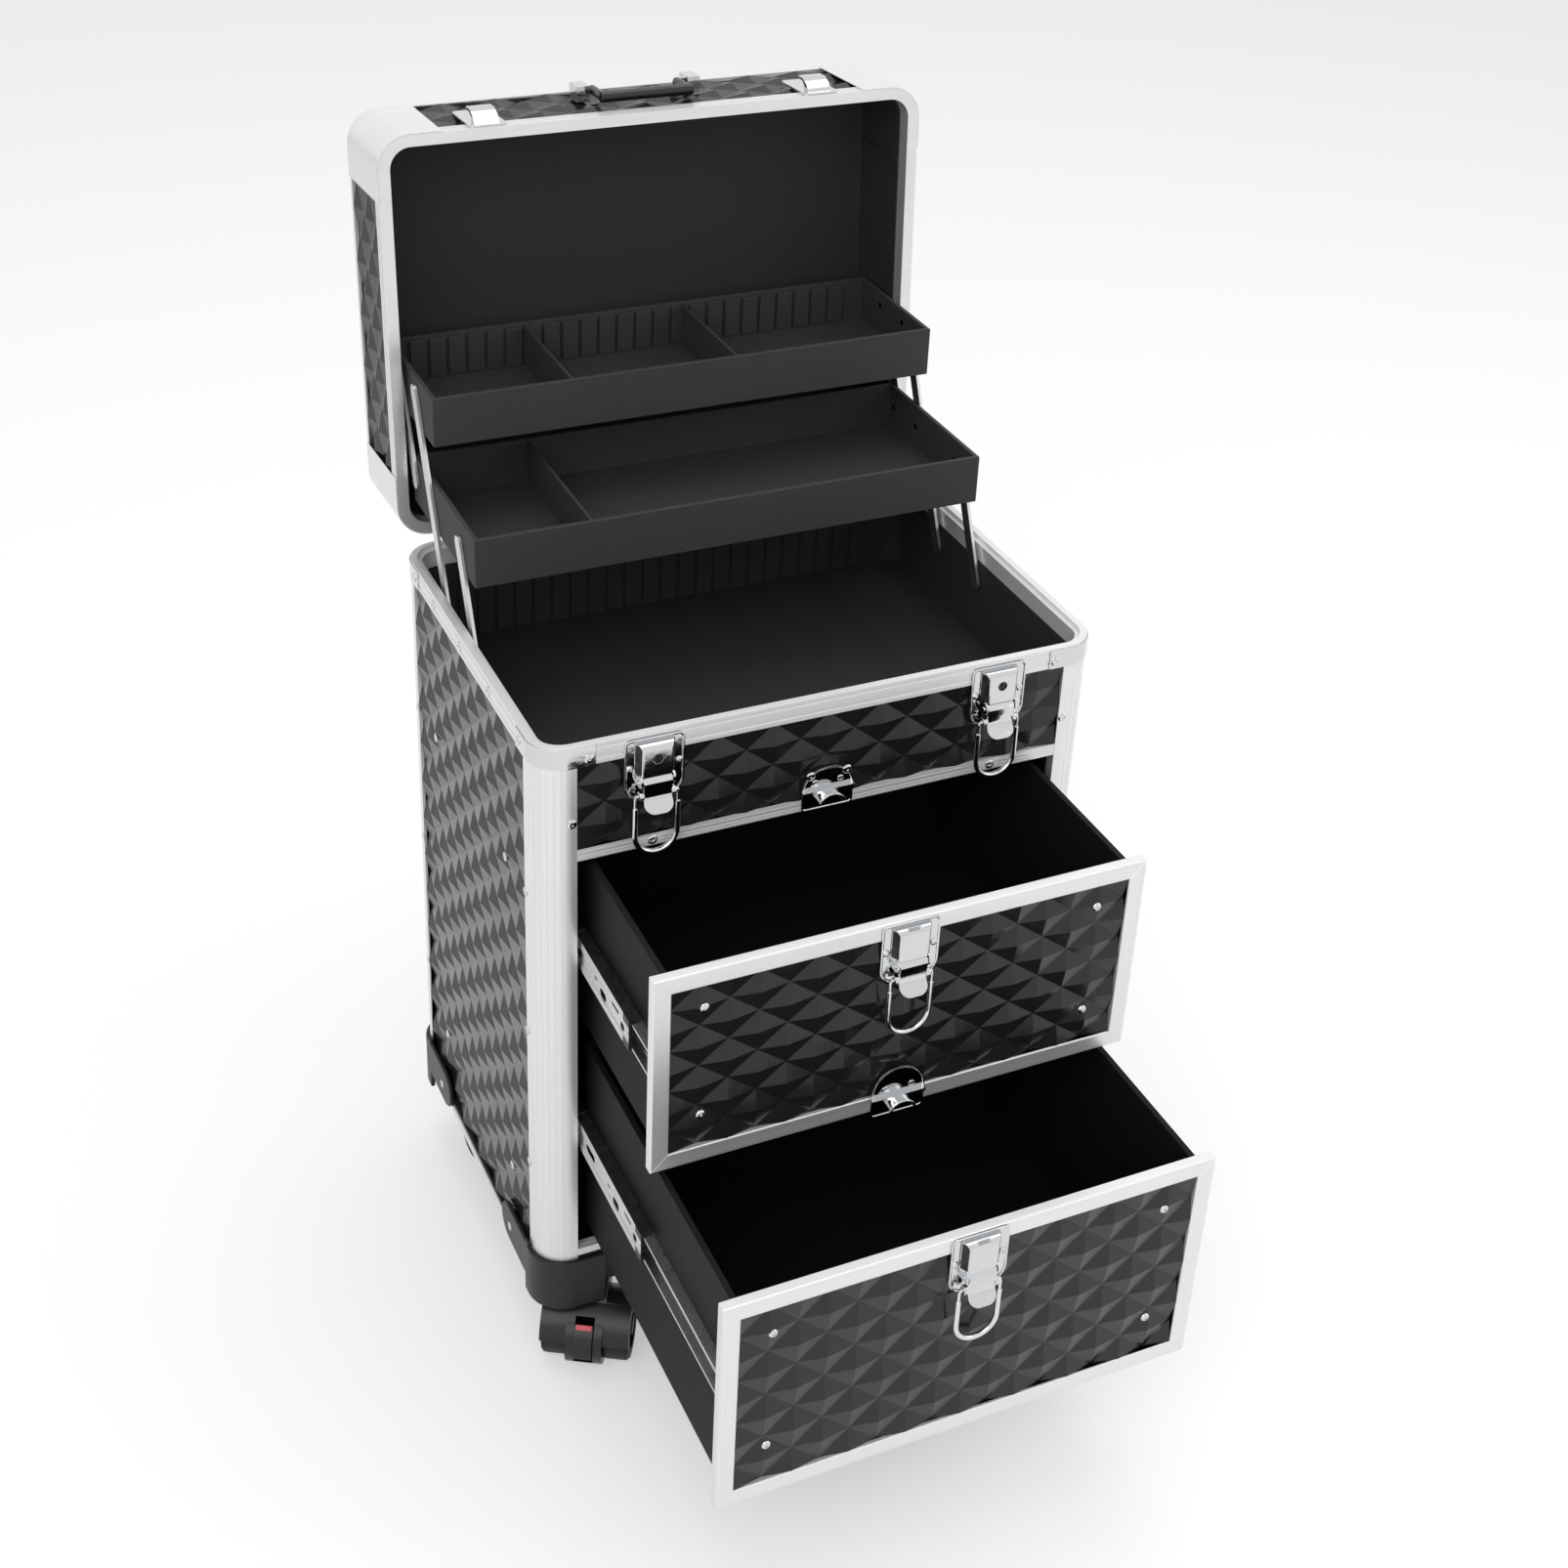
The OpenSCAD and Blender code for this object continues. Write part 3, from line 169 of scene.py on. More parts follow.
class Wiring:
    """Adds shader nodes to a tree and links them."""

    def __init__(self, tree: bpy.types.NodeTree) -> None:
        """Works on one tree.

        Args:
            tree: The material's or group's node tree.
        """
        self.tree = tree

    def add(self, kind: str, ins: dict | None = None, **settings: object) -> bpy.types.Node:
        """Adds a node.

        Args:
            kind: The node's class name without its ShaderNode part.
            ins: Input name or number to a socket to link or a value to set.
            **settings: Attributes of the node.

        Returns:
            The new node.
        """
        node = self.tree.nodes.new("ShaderNode" + kind)
        for key, value in settings.items():
            setattr(node, key, value)
        for key, value in (ins or {}).items():
            if isinstance(value, bpy.types.NodeSocket):
                self.tree.links.new(value, node.inputs[key])
            else:
                node.inputs[key].default_value = value
        return node

    def noise(self, vector: bpy.types.NodeSocket, scale: float, detail: float = 3.0,
              roughness: float = 0.5) -> bpy.types.NodeSocket:
        """A noise value between 0 and 1."""
        return self.add("TexNoise", {"Vector": vector, "Scale": scale, "Detail": detail,
                                     "Roughness": roughness}).outputs[0]

    def span(self, value: bpy.types.NodeSocket, low: float, high: float, to_low: float,
             to_high: float) -> bpy.types.NodeSocket:
        """Maps a value from one range to another and clamps it."""
        return self.add("MapRange", {"Value": value, "From Min": low, "From Max": high,
                                     "To Min": to_low, "To Max": to_high}).outputs[0]

    def math(self, operation: str, a: object, b: object = 0.0) -> bpy.types.NodeSocket:
        """Arithmetic on two values."""
        return self.add("Math", {0: a, 1: b}, operation=operation).outputs[0]

    def shade(self, colour: Sequence[float], value: bpy.types.NodeSocket) -> bpy.types.NodeSocket:
        """A colour scaled by a value."""
        scaled = self.add("VectorMath", {0: tuple(colour), "Scale": value}, operation="SCALE")
        return scaled.outputs[0]

    def mix(self, share: object, a: object, b: object) -> bpy.types.NodeSocket:
        """Blends two colours."""
        node = self.add("Mix", None, data_type="RGBA")
        for index, value in ((0, share), (6, a), (7, b)):
            if isinstance(value, bpy.types.NodeSocket):
                self.tree.links.new(value, node.inputs[index])
            else:
                node.inputs[index].default_value = value if index == 0 else (*value, 1.0)
        return node.outputs[2]

    def stretch(self, vector: bpy.types.NodeSocket, scale: Sequence[float],
                turn: Sequence[float] = (0, 0, 0)) -> bpy.types.NodeSocket:
        """Scales and turns a pattern's coordinates."""
        return self.add("Mapping", {"Vector": vector, "Scale": tuple(scale),
                                    "Rotation": tuple(turn)}).outputs[0]

    def bump(self, height: bpy.types.NodeSocket, depth: float, strength: float = 1.0,
             under: bpy.types.NodeSocket | None = None) -> bpy.types.NodeSocket:
        """A normal from a height between 0 and 1 that stands for depth metres."""
        ins = {"Height": height, "Distance": depth, "Strength": strength}
        if under is not None:
            ins["Normal"] = under
        return self.add("Bump", ins).outputs[0]

    def group(self, tree: bpy.types.NodeTree, ins: dict) -> bpy.types.Node:
        """Places a node group."""
        node = self.add("Group", None, node_tree=tree)
        for key, value in ins.items():
            if isinstance(value, bpy.types.NodeSocket):
                self.tree.links.new(value, node.inputs[key])
            else:
                node.inputs[key].default_value = value
        return node


def group_tree(name: str, ins: dict[str, str], outs: Sequence[str],
               fill: Callable[[Wiring, dict], dict]) -> bpy.types.NodeTree:
    """A shader node group, built once.

    Args:
        name: The group's name.
        ins: Input name to its kind, Float or Vector.
        outs: Names of the outputs, all floats.
        fill: Builds the inside from the inputs' sockets and returns the outputs'.

    Returns:
        The group's tree.
    """
    found = bpy.data.node_groups.get(name)
    if found:
        return found
    tree = bpy.data.node_groups.new(name, "ShaderNodeTree")
    for key, kind in ins.items():
        tree.interface.new_socket(name=key, in_out="INPUT", socket_type="NodeSocket" + kind)
    for key in outs:
        tree.interface.new_socket(name=key, in_out="OUTPUT", socket_type="NodeSocketFloat")
    entry = tree.nodes.new("NodeGroupInput")
    leave = tree.nodes.new("NodeGroupOutput")
    made = fill(Wiring(tree), {key: entry.outputs[key] for key in ins})
    for key, socket in made.items():
        tree.links.new(socket, leave.inputs[key])
    return tree


def brush_lines() -> bpy.types.NodeTree:
    """Group: the fine parallel marks of brushed metal."""
    def fill(wiring: Wiring, ins: dict) -> dict:
        """Fine lines on slower bands."""
        fine = wiring.noise(ins["Vector"], 1.0, 4.0, 0.65)
        band = wiring.noise(ins["Vector"], 0.16, 2.0)
        height = wiring.math("ADD", wiring.math("MULTIPLY", fine, 0.7),
                             wiring.math("MULTIPLY", band, 0.3))
        return {"Height": height,
                "Shade": wiring.span(height, 0.3, 0.7, 0.93, 1.03),
                "Spread": wiring.span(band, 0.3, 0.7, -0.05, 0.06)}
    return group_tree("brush_lines", {"Vector": "Vector"}, ("Height", "Shade", "Spread"), fill)


def handling_marks() -> bpy.types.NodeTree:
    """Group: finger smudges and hairline scratches from use."""
    def fill(wiring: Wiring, ins: dict) -> dict:
        """Soft patches, and thin lines in two directions."""
        patch = wiring.noise(ins["Vector"], 22.0, 5.0, 0.6)
        smudge = wiring.math("MULTIPLY", wiring.span(patch, 0.48, 0.72, 0.0, 1.0), ins["Amount"])
        lines = []
        for turn, size in (((0.3, 0.7, 0.4), (30, 900, 40)), ((1.1, 0.2, 2.0), (700, 24, 30))):
            streak = wiring.noise(wiring.stretch(ins["Vector"], size, turn), 1.0, 2.0)
            lines.append(wiring.span(streak, 0.71, 0.76, 0.0, 1.0))
        scratch = wiring.math("MULTIPLY", wiring.math("MAXIMUM", *lines), ins["Amount"])
        return {"Smudge": smudge, "Scratch": scratch}
    return group_tree("handling_marks", {"Vector": "Vector", "Amount": "Float"},
                      ("Smudge", "Scratch"), fill)


def edge_wear() -> bpy.types.NodeTree:
    """Group: where edges are rubbed."""
    def fill(wiring: Wiring, ins: dict) -> dict:
        """Pointed places, broken up by noise."""
        point = wiring.add("NewGeometry").outputs["Pointiness"]
        edge = wiring.span(point, 0.52, 0.6, 0.0, 1.0)
        patch = wiring.span(wiring.noise(ins["Vector"], 160.0, 4.0), 0.4, 0.62, 0.0, 1.0)
        return {"Wear": wiring.math("MULTIPLY", wiring.math("MULTIPLY", edge, patch),
                                    ins["Amount"])}
    return group_tree("edge_wear", {"Vector": "Vector", "Amount": "Float"}, ("Wear",), fill)


def pressed_grain() -> bpy.types.NodeTree:
    """Group: the fine pebbled grain of coated board and moulded plastic."""
    def fill(wiring: Wiring, ins: dict) -> dict:
        """Small cells with a slower unevenness."""
        scaled = wiring.add("VectorMath", {0: ins["Vector"], "Scale": ins["Fineness"]},
                            operation="SCALE").outputs[0]
        cells = wiring.add("TexVoronoi", {"Vector": scaled, "Scale": 1.0}).outputs["Distance"]
        fibre = wiring.noise(scaled, 0.8, 4.0, 0.6)
        height = wiring.math("ADD", wiring.math("MULTIPLY", cells, 0.6),
                             wiring.math("MULTIPLY", fibre, 0.4))
        slow = wiring.noise(ins["Vector"], 14.0, 3.0)
        tone = wiring.math("MULTIPLY", wiring.span(height, 0.2, 0.8, 0.95, 1.05),
                           wiring.span(slow, 0.3, 0.7, 0.97, 1.03))
        return {"Height": height, "Tone": tone}
    return group_tree("pressed_grain", {"Vector": "Vector", "Fineness": "Float"},
                      ("Height", "Tone"), fill)


# Finishes


@dataclass(frozen=True)
class Finish:
    """A surface finish that makes its own material once."""

    name: str
    slot: Slot
    colour: tuple[float, float, float]
    roughness: float

    def material(self) -> bpy.types.Material:
        """The finish's material."""
        found = bpy.data.materials.get(self.name)
        if found:
            return found
        made = bpy.data.materials.new(self.name)
        made.use_nodes = True
        shader = made.node_tree.nodes["Principled BSDF"]
        wiring = Wiring(made.node_tree)
        place = wiring.add("TexCoord").outputs["Object"]
        for key, value in self.dress(wiring, shader, place).items():
            made.node_tree.links.new(value, shader.inputs[key])
        return made

    def dress(self, wiring: Wiring, shader: bpy.types.Node,
              place: bpy.types.NodeSocket) -> dict[str, bpy.types.NodeSocket]:
        """Sets the shader's constants and returns what is linked to it."""
        raise NotImplementedError


@dataclass(frozen=True)
class BrushedMetal(Finish):
    """Anodised aluminium with brush marks."""

    grain: Grain = Grain.LEVEL
    marks: float = 0.35
    metallic: float = 0.6

    def dress(self, wiring: Wiring, shader: bpy.types.Node,
              place: bpy.types.NodeSocket) -> dict[str, bpy.types.NodeSocket]:
        """Brush lines in colour, gloss and relief, with smudges over them."""
        shader.inputs["Metallic"].default_value = self.metallic
        lines = wiring.group(brush_lines(), {"Vector": wiring.stretch(place, self.grain.value)})
        use = wiring.group(handling_marks(), {"Vector": place, "Amount": self.marks})
        rough = wiring.math("ADD", lines.outputs["Spread"], self.roughness)
        rough = wiring.math("ADD", rough, wiring.math("MULTIPLY", use.outputs["Smudge"], 0.10))
        tone = wiring.math("SUBTRACT", lines.outputs["Shade"],
                           wiring.math("MULTIPLY", use.outputs["Scratch"], 0.08))
        return {"Base Color": wiring.shade(self.colour, tone), "Roughness": rough,
                "Normal": wiring.bump(lines.outputs["Height"], 0.00004, 0.5)}


@dataclass(frozen=True)
class PlatedMetal(Finish):
    """Chrome or bright steel with a faint unevenness."""

    wave: float = 0.00006
    marks: float = 0.5

    def dress(self, wiring: Wiring, shader: bpy.types.Node,
              place: bpy.types.NodeSocket) -> dict[str, bpy.types.NodeSocket]:
        """Pressing waves in the relief, smudges and scratches in the gloss."""
        shader.inputs["Metallic"].default_value = 1.0
        use = wiring.group(handling_marks(), {"Vector": place, "Amount": self.marks})
        worn = wiring.group(edge_wear(), {"Vector": place, "Amount": self.marks})
        rough = wiring.math("ADD", wiring.math("MULTIPLY", use.outputs["Smudge"], 0.14),
                            self.roughness)
        rough = wiring.math("ADD", rough, wiring.math("MULTIPLY", worn.outputs["Wear"], 0.12))
        wave = wiring.noise(place, 190.0, 2.0)
        tone = wiring.span(use.outputs["Scratch"], 0.0, 1.0, 1.0, 0.86)
        return {"Base Color": wiring.shade(self.colour, tone), "Roughness": rough,
                "Normal": wiring.bump(wave, self.wave)}


@dataclass(frozen=True)
class PressedSheet(Finish):
    """Glossy plastic sheet, soft from its vacuum forming."""

    def dress(self, wiring: Wiring, shader: bpy.types.Node,
              place: bpy.types.NodeSocket) -> dict[str, bpy.types.NodeSocket]:
        """Facets that aren't quite flat, fine ripple, smudges, scratches and rubbed edges."""
        shader.inputs["Specular IOR Level"].default_value = 0.34
        use = wiring.group(handling_marks(), {"Vector": place, "Amount": 0.35})
        worn = wiring.group(edge_wear(), {"Vector": place, "Amount": 0.15})
        grain = wiring.group(pressed_grain(), {"Vector": place, "Fineness": 2600.0})
        rough = wiring.math("ADD", wiring.math("MULTIPLY", use.outputs["Smudge"], 0.13),
                            self.roughness)
        rough = wiring.math("ADD", rough, wiring.math("MULTIPLY", use.outputs["Scratch"], 0.1))
        sag = wiring.bump(wiring.noise(place, 55.0, 2.0), 0.0004)
        fine = wiring.bump(grain.outputs["Height"], 0.000012, 1.0, sag)
        base = wiring.shade(self.colour, grain.outputs["Tone"])
        return {"Base Color": wiring.mix(worn.outputs["Wear"], base, (0.05, 0.05, 0.053)),
                "Roughness": rough, "Normal": fine}


@dataclass(frozen=True)
class GrainedCover(Finish):
    """Coated board, lining or moulded plastic with a fine grain."""

    fineness: float = 1500.0
    depth: float = 0.00006
    wear: float = 0.04
    worn: tuple[float, float, float] = (0.09, 0.09, 0.09)
    sheen: float = 0.25

    def dress(self, wiring: Wiring, shader: bpy.types.Node,
              place: bpy.types.NodeSocket) -> dict[str, bpy.types.NodeSocket]:
        """Grain in relief and tone, patchy gloss and paler rubbed edges."""
        shader.inputs["Specular IOR Level"].default_value = self.sheen
        grain = wiring.group(pressed_grain(), {"Vector": place, "Fineness": self.fineness})
        use = wiring.group(handling_marks(), {"Vector": place, "Amount": 0.6})
        worn = wiring.group(edge_wear(), {"Vector": place, "Amount": self.wear})
        rough = wiring.math("SUBTRACT", self.roughness,
                            wiring.math("MULTIPLY", use.outputs["Smudge"], 0.05))
        base = wiring.shade(self.colour, grain.outputs["Tone"])
        return {"Base Color": wiring.mix(worn.outputs["Wear"], base, self.worn),
                "Roughness": rough,
                "Normal": wiring.bump(grain.outputs["Height"], self.depth)}


FRAME_ALONG_X = BrushedMetal("brushed_bar_level", Slot.ALUMINIUM, (0.86, 0.865, 0.87), 0.34,
                             Grain.ALONG_X)
FRAME_ALONG_Z = BrushedMetal("brushed_bar_upright", Slot.ALUMINIUM, (0.86, 0.865, 0.87), 0.34,
                             Grain.ALONG_Z)
RIM_METAL = BrushedMetal("brushed_rim", Slot.ALUMINIUM, (0.90, 0.905, 0.91), 0.34, Grain.LEVEL,
                         0.25, 0.35)
LID_METAL = BrushedMetal("brushed_lid_rim", Slot.ALUMINIUM, (0.84, 0.845, 0.85), 0.28,
                         Grain.LID_LEVEL)
CHROME = PlatedMetal("chrome_plate", Slot.CHROME, (0.61, 0.62, 0.63), 0.07)
WIRE = PlatedMetal("bright_wire", Slot.WIRE, (0.66, 0.67, 0.68), 0.14)
STEEL = PlatedMetal("zinc_steel", Slot.SLIDE, (0.60, 0.61, 0.62), 0.26, 0.00003, 0.25)
ARM_ZINC = PlatedMetal("zinc_bar", Slot.SLIDE, (0.62, 0.63, 0.64), 0.33, 0.00003, 0.3)
SKIN = PressedSheet("embossed_black_sheet", Slot.SKIN, (0.017, 0.017, 0.018), 0.2)
BOARD = GrainedCover("black_coated_board", Slot.BOARD, (0.011, 0.011, 0.0115), 0.5)
DRAWER_LINING = GrainedCover("drawer_lining", Slot.BOARD, (0.0095, 0.0095, 0.01), 0.62, 1300.0,
                             0.0001, 0.0, (0.03, 0.03, 0.03), 0.12)
TRAY_COVER = GrainedCover("tray_covering", Slot.BOARD, (0.046, 0.046, 0.047), 0.66, 1100.0,
                          0.00005, 0.03, (0.12, 0.12, 0.12))
LID_LINING = GrainedCover("lid_lining", Slot.BOARD, (0.030, 0.030, 0.031), 0.72, 950.0,
                          0.00007, 0.0, (0.07, 0.07, 0.07))
PLASTIC = GrainedCover("moulded_plastic", Slot.PLASTIC, (0.012, 0.012, 0.0125), 0.42, 2200.0,
                       0.00003, 0.3, (0.05, 0.05, 0.05), 0.35)
GLOSS_PLASTIC = GrainedCover("smooth_moulded_plastic", Slot.PLASTIC, (0.009, 0.009, 0.0095), 0.22,
                             2600.0, 0.00001, 0.25, (0.05, 0.05, 0.05), 0.5)
CASTER_PLASTIC = GrainedCover("caster_plastic", Slot.PLASTIC, (0.016, 0.016, 0.0165), 0.34,
                              2600.0, 0.00001, 0.25, (0.05, 0.05, 0.05), 0.4)
TREAD = GrainedCover("wheel_rubber", Slot.TREAD, (0.020, 0.020, 0.020), 0.55, 1800.0, 0.00006,
                     0.4)
BLACK_STEEL = GrainedCover("painted_tube", Slot.BLACK_STEEL, (0.018, 0.018, 0.019), 0.36, 2400.0,
                           0.00002, 0.4, (0.16, 0.16, 0.16))
RED = GrainedCover("red_plastic", Slot.RED, (0.55, 0.022, 0.035), 0.38, 2400.0, 0.00001, 0.2,
                   (0.7, 0.12, 0.12))


# Modelling


def deselect() -> None:
    """Leaves edit mode and deselects every object."""
    if bpy.context.object and bpy.context.object.mode != "OBJECT":
        bpy.ops.object.mode_set(mode="OBJECT")
    bpy.ops.object.select_all(action="DESELECT")


class Piece:
    """A mesh shaped step by step with Blender's own tools."""

    def __init__(self, obj: bpy.types.Object, name: str) -> None:
        """Takes over an object.

        Args:
            obj: The mesh object.
            name: The piece's name.
        """
        self.obj = obj
        obj.name = name
        obj.data.name = name

    @classmethod
    def added(cls, name: str, scale: Point = (1, 1, 1)) -> "Piece":
        """Takes the primitive that was just added and applies its place and size."""
        obj = bpy.context.object
        obj.scale = Vector(scale)
        bpy.ops.object.transform_apply(location=True, rotation=True, scale=True)
        return cls(obj, name)

    @classmethod
    def block(cls, name: str, low: Point, high: Point) -> "Piece":
        """A cube from one corner to the other."""
        deselect()
        size = Vector(high) - Vector(low)
        bpy.ops.mesh.primitive_cube_add(size=1, location=(Vector(low) + Vector(high)) / 2)
        return cls.added(name, size)

    @classmethod
    def rod(cls, name: str, start: Point, end: Point, radius: float, sides: int = 24) -> "Piece":
        """A cylinder between two points."""
        deselect()
        line = Vector(end) - Vector(start)
        bpy.ops.mesh.primitive_cylinder_add(
            vertices=sides, radius=radius, depth=line.length,
            location=(Vector(start) + Vector(end)) / 2,
            rotation=line.to_track_quat("Z", "Y").to_euler())
        return cls.added(name)

    @classmethod
    def sheet(cls, name: str, width: float, depth: float, radius: float = 0.0,
              segments: int = 8) -> "Piece":
        """A flat rectangle in X and Y about the origin, with round corners."""
        deselect()
        bpy.ops.mesh.primitive_plane_add(size=1)
        made = cls.added(name, (width, depth, 1))
        if radius:
            with made.editing("VERT"):
                bpy.ops.mesh.select_all(action="SELECT")
                bpy.ops.mesh.bevel(offset=radius, segments=segments, affect="VERTICES")
        return made

    @classmethod
    def wire(cls, name: str, start: Point, radius: float, path: Sequence[tuple]) -> "Piece":
        """A round wire in an upright plane across Y, laid run by run and turn by turn.

        Args:
            name: The piece's name.
            start: Where the wire starts; it first runs straight down.
            radius: The wire's radius.
            path: Steps: run, its length, None; or turn, its angle, its centre.

        Returns:
            The wire.
        """
        deselect()
        bpy.ops.mesh.primitive_circle_add(vertices=16, radius=radius, fill_type="NGON",
                                          location=tuple(start))
        made = cls.added(name)
        heading = Vector((0, 0, -1))
        with made.editing():
            bpy.ops.mesh.select_all(action="SELECT")
            for kind, amount, centre in path:
                if kind == "run":
                    made.push(heading * amount)
                    continue
                steps = max(4, round(abs(amount) / math.radians(9)))
                bpy.ops.mesh.spin(steps=steps, angle=amount, center=tuple(centre),
                                  axis=(0, 1, 0))
                heading = Matrix.Rotation(amount, 3, "Y") @ heading
        with made.editing():
            bpy.ops.mesh.select_all(action="SELECT")
            bpy.ops.mesh.remove_doubles(threshold=0.000002)
            bpy.ops.mesh.normals_make_consistent(inside=False)
        return made.smooth(50)

    @classmethod
    def arch(cls, name: str, centre: Point, radii: Point, run: Point, half_angle: float,
             steps: int = 28) -> "Piece":
        """A band bent about an axis along Y, symmetric about the upright.

        Args:
            name: The piece's name.
            centre: The axis' X and Z.
            radii: Inner and outer radius.
            run: The band's two ends on Y.
            half_angle: How far it reaches to each side of its top.
            steps: Flat strips along the arch.

        Returns:
            The band.
        """
        deselect()
        bpy.ops.mesh.primitive_plane_add(size=1)
        made = cls.added(name, (radii[1] - radii[0], run[1] - run[0], 1))
        made.place(Matrix.Translation(((radii[0] + radii[1]) / 2, (run[0] + run[1]) / 2, 0)))
        made.place(Matrix.Rotation(half_angle - math.pi / 2, 4, "Y"))
        with made.editing():
            bpy.ops.mesh.select_all(action="SELECT")
            bpy.ops.mesh.spin(steps=steps, angle=2 * half_angle, center=(0, 0, 0),
                              axis=(0, 1, 0))
        with made.editing():
            bpy.ops.mesh.select_all(action="SELECT")
            bpy.ops.mesh.remove_doubles(threshold=0.000002)
            bpy.ops.mesh.normals_make_consistent(inside=False)
        return made.place(Matrix.Translation((centre[0], 0, centre[1])))

    @classmethod
    def from_node(cls, node: str, name: str) -> "Piece":
        """A merged copy of a CAD node's mesh, with its flat faces made whole."""
        source = bpy.data.objects[node]
        obj = bpy.data.objects.new(name, source.data.copy())
        bpy.context.scene.collection.objects.link(obj)
        obj.data.materials.clear()
        made = cls(obj, name)
        made.activate()
        bpy.ops.mesh.customdata_custom_splitnormals_clear()
        with made.editing("VERT"):
            bpy.ops.mesh.select_all(action="SELECT")
            bpy.ops.mesh.remove_doubles(threshold=0.000004)
            bpy.ops.mesh.dissolve_limited(angle_limit=math.radians(0.4))
        return made

    def activate(self) -> None:
        """Makes this the one selected, active object."""
        deselect()
        self.obj.select_set(True)
        bpy.context.view_layer.objects.active = self.obj

    @contextmanager
    def editing(self, mode: str = "FACE") -> Iterator[None]:
        """Edit mode with nothing selected."""
        self.activate()
        bpy.ops.object.mode_set(mode="EDIT")
        bpy.ops.mesh.select_mode(type=mode)
        bpy.ops.mesh.select_all(action="DESELECT")
        yield
        bpy.ops.object.mode_set(mode="OBJECT")

    def pick_faces(self, test: FaceTest) -> int:
        """Selects the faces whose centre and normal pass the test."""
        bpy.ops.mesh.select_all(action="DESELECT")
        mesh = bmesh.from_edit_mesh(self.obj.data)
        found = [f for f in mesh.faces if test(f.calc_center_median(), f.normal)]
        for face in found:
            face.select_set(True)
        bmesh.update_edit_mesh(self.obj.data)
        return len(found)

    def pick_edges(self, test: EdgeTest) -> int:
        """Selects the edges whose middle and direction pass the test."""
        bpy.ops.mesh.select_all(action="DESELECT")
        mesh = bmesh.from_edit_mesh(self.obj.data)
        found = []
        for edge in mesh.edges:
            a, b = (v.co for v in edge.verts)
            if test((a + b) / 2, (b - a).normalized()):
                found.append(edge)
        for edge in found:
            edge.select_set(True)
        bmesh.update_edit_mesh(self.obj.data)
        return len(found)

    def push(self, value: Point) -> None:
        """Extrudes the selected faces by a vector."""
        bpy.ops.mesh.extrude_region_move(TRANSFORM_OT_translate={"value": tuple(value)})

    def round_edges(self, test: EdgeTest, radius: float, segments: int = 4) -> "Piece":
        """Rounds the edges that pass the test."""
        with self.editing("EDGE"):
            if self.pick_edges(test):
                bpy.ops.mesh.bevel(offset=radius, segments=segments, affect="EDGES")
        return self

    def cut(self, place: Point, normal: Point, drop: bool = False) -> "Piece":
        """Cuts through along a plane, and drops what lies beyond it if asked."""
        with self.editing("VERT"):
            bpy.ops.mesh.select_all(action="SELECT")
            bpy.ops.mesh.bisect(plane_co=tuple(place), plane_no=tuple(normal), use_fill=drop,
                                clear_outer=drop)
        return self

    def groove(self, axis: int, at: float, width: float, depth: Point) -> "Piece":
        """Sinks a groove across the faces that look against depth.

        Args:
            axis: The axis across the groove.
            at: The groove's middle on that axis.
            width: The groove's width.
            depth: The way the groove is sunk.
        """
        across = Vector([1.0 if k == axis else 0.0 for k in range(3)])
        for side in (-0.5, 0.5):
            self.cut(across * (at + side * width), across)
        inward = Vector(depth).normalized()
        with self.editing():
            self.pick_faces(lambda c, n: abs(c[axis] - at) < width / 2 and n.dot(inward) < -0.9)
            self.push(depth)
        return self

    def modify(self, kind: str, **settings: object) -> "Piece":
        """Adds a modifier and applies it."""
        self.activate()
        modifier = self.obj.modifiers.new(kind.lower(), kind)
        for key, value in settings.items():
            setattr(modifier, key, value)
        bpy.ops.object.modifier_apply(modifier=modifier.name)
        return self

    def soften(self, width: float, segments: int = 2, angle: float = 34.0) -> "Piece":
        """Gives every hard edge a small radius and keeps the wide faces flat."""
        self.modify("BEVEL", width=width, segments=segments, limit_method="ANGLE",
                    angle_limit=math.radians(angle), use_clamp_overlap=True)
        self.smooth()
        return self.modify("WEIGHTED_NORMAL", keep_sharp=True, weight=50)

    def smooth(self, angle: float = 34.0) -> "Piece":
        """Shades smooth across all but the hard edges."""
        self.activate()
        bpy.ops.object.shade_smooth_by_angle(angle=math.radians(angle))
        return self

    def thicken(self, thickness: float, offset: float = -1.0) -> "Piece":
        """Gives an open sheet its wall."""
        return self.modify("SOLIDIFY", thickness=thickness, offset=offset,
                           use_even_offset=True)

    def subtract(self, cutter: "Piece") -> "Piece":
        """Cuts another piece out of this one and removes it."""
        self.modify("BOOLEAN", operation="DIFFERENCE", solver="EXACT", object=cutter.obj)
        bpy.data.objects.remove(cutter.obj)
        return self

    def join(self, others: Sequence["Piece"]) -> "Piece":
        """Makes the others part of this piece."""
        self.activate()
        for other in others:
            other.obj.select_set(True)
        bpy.ops.object.join()
        return self

    def place(self, matrix: Matrix) -> "Piece":
        """Moves the mesh itself, and turns its faces round again if it was mirrored."""
        self.obj.data.transform(matrix)
        if matrix.determinant() < 0:
            self.obj.data.flip_normals()
        self.obj.data.update()
        return self

    def copy(self, matrix: Matrix) -> "Piece":
        """A moved copy with its own mesh."""
        obj = bpy.data.objects.new(self.obj.name, self.obj.data.copy())
        bpy.context.scene.collection.objects.link(obj)
        return Piece(obj, self.obj.name).place(matrix)

    def paint(self, *finishes: Finish) -> "Piece":
        """Gives the piece its materials, in slot order."""
        self.obj.data.materials.clear()
        for finish in finishes:
            self.obj.data.materials.append(finish.material())
        return self

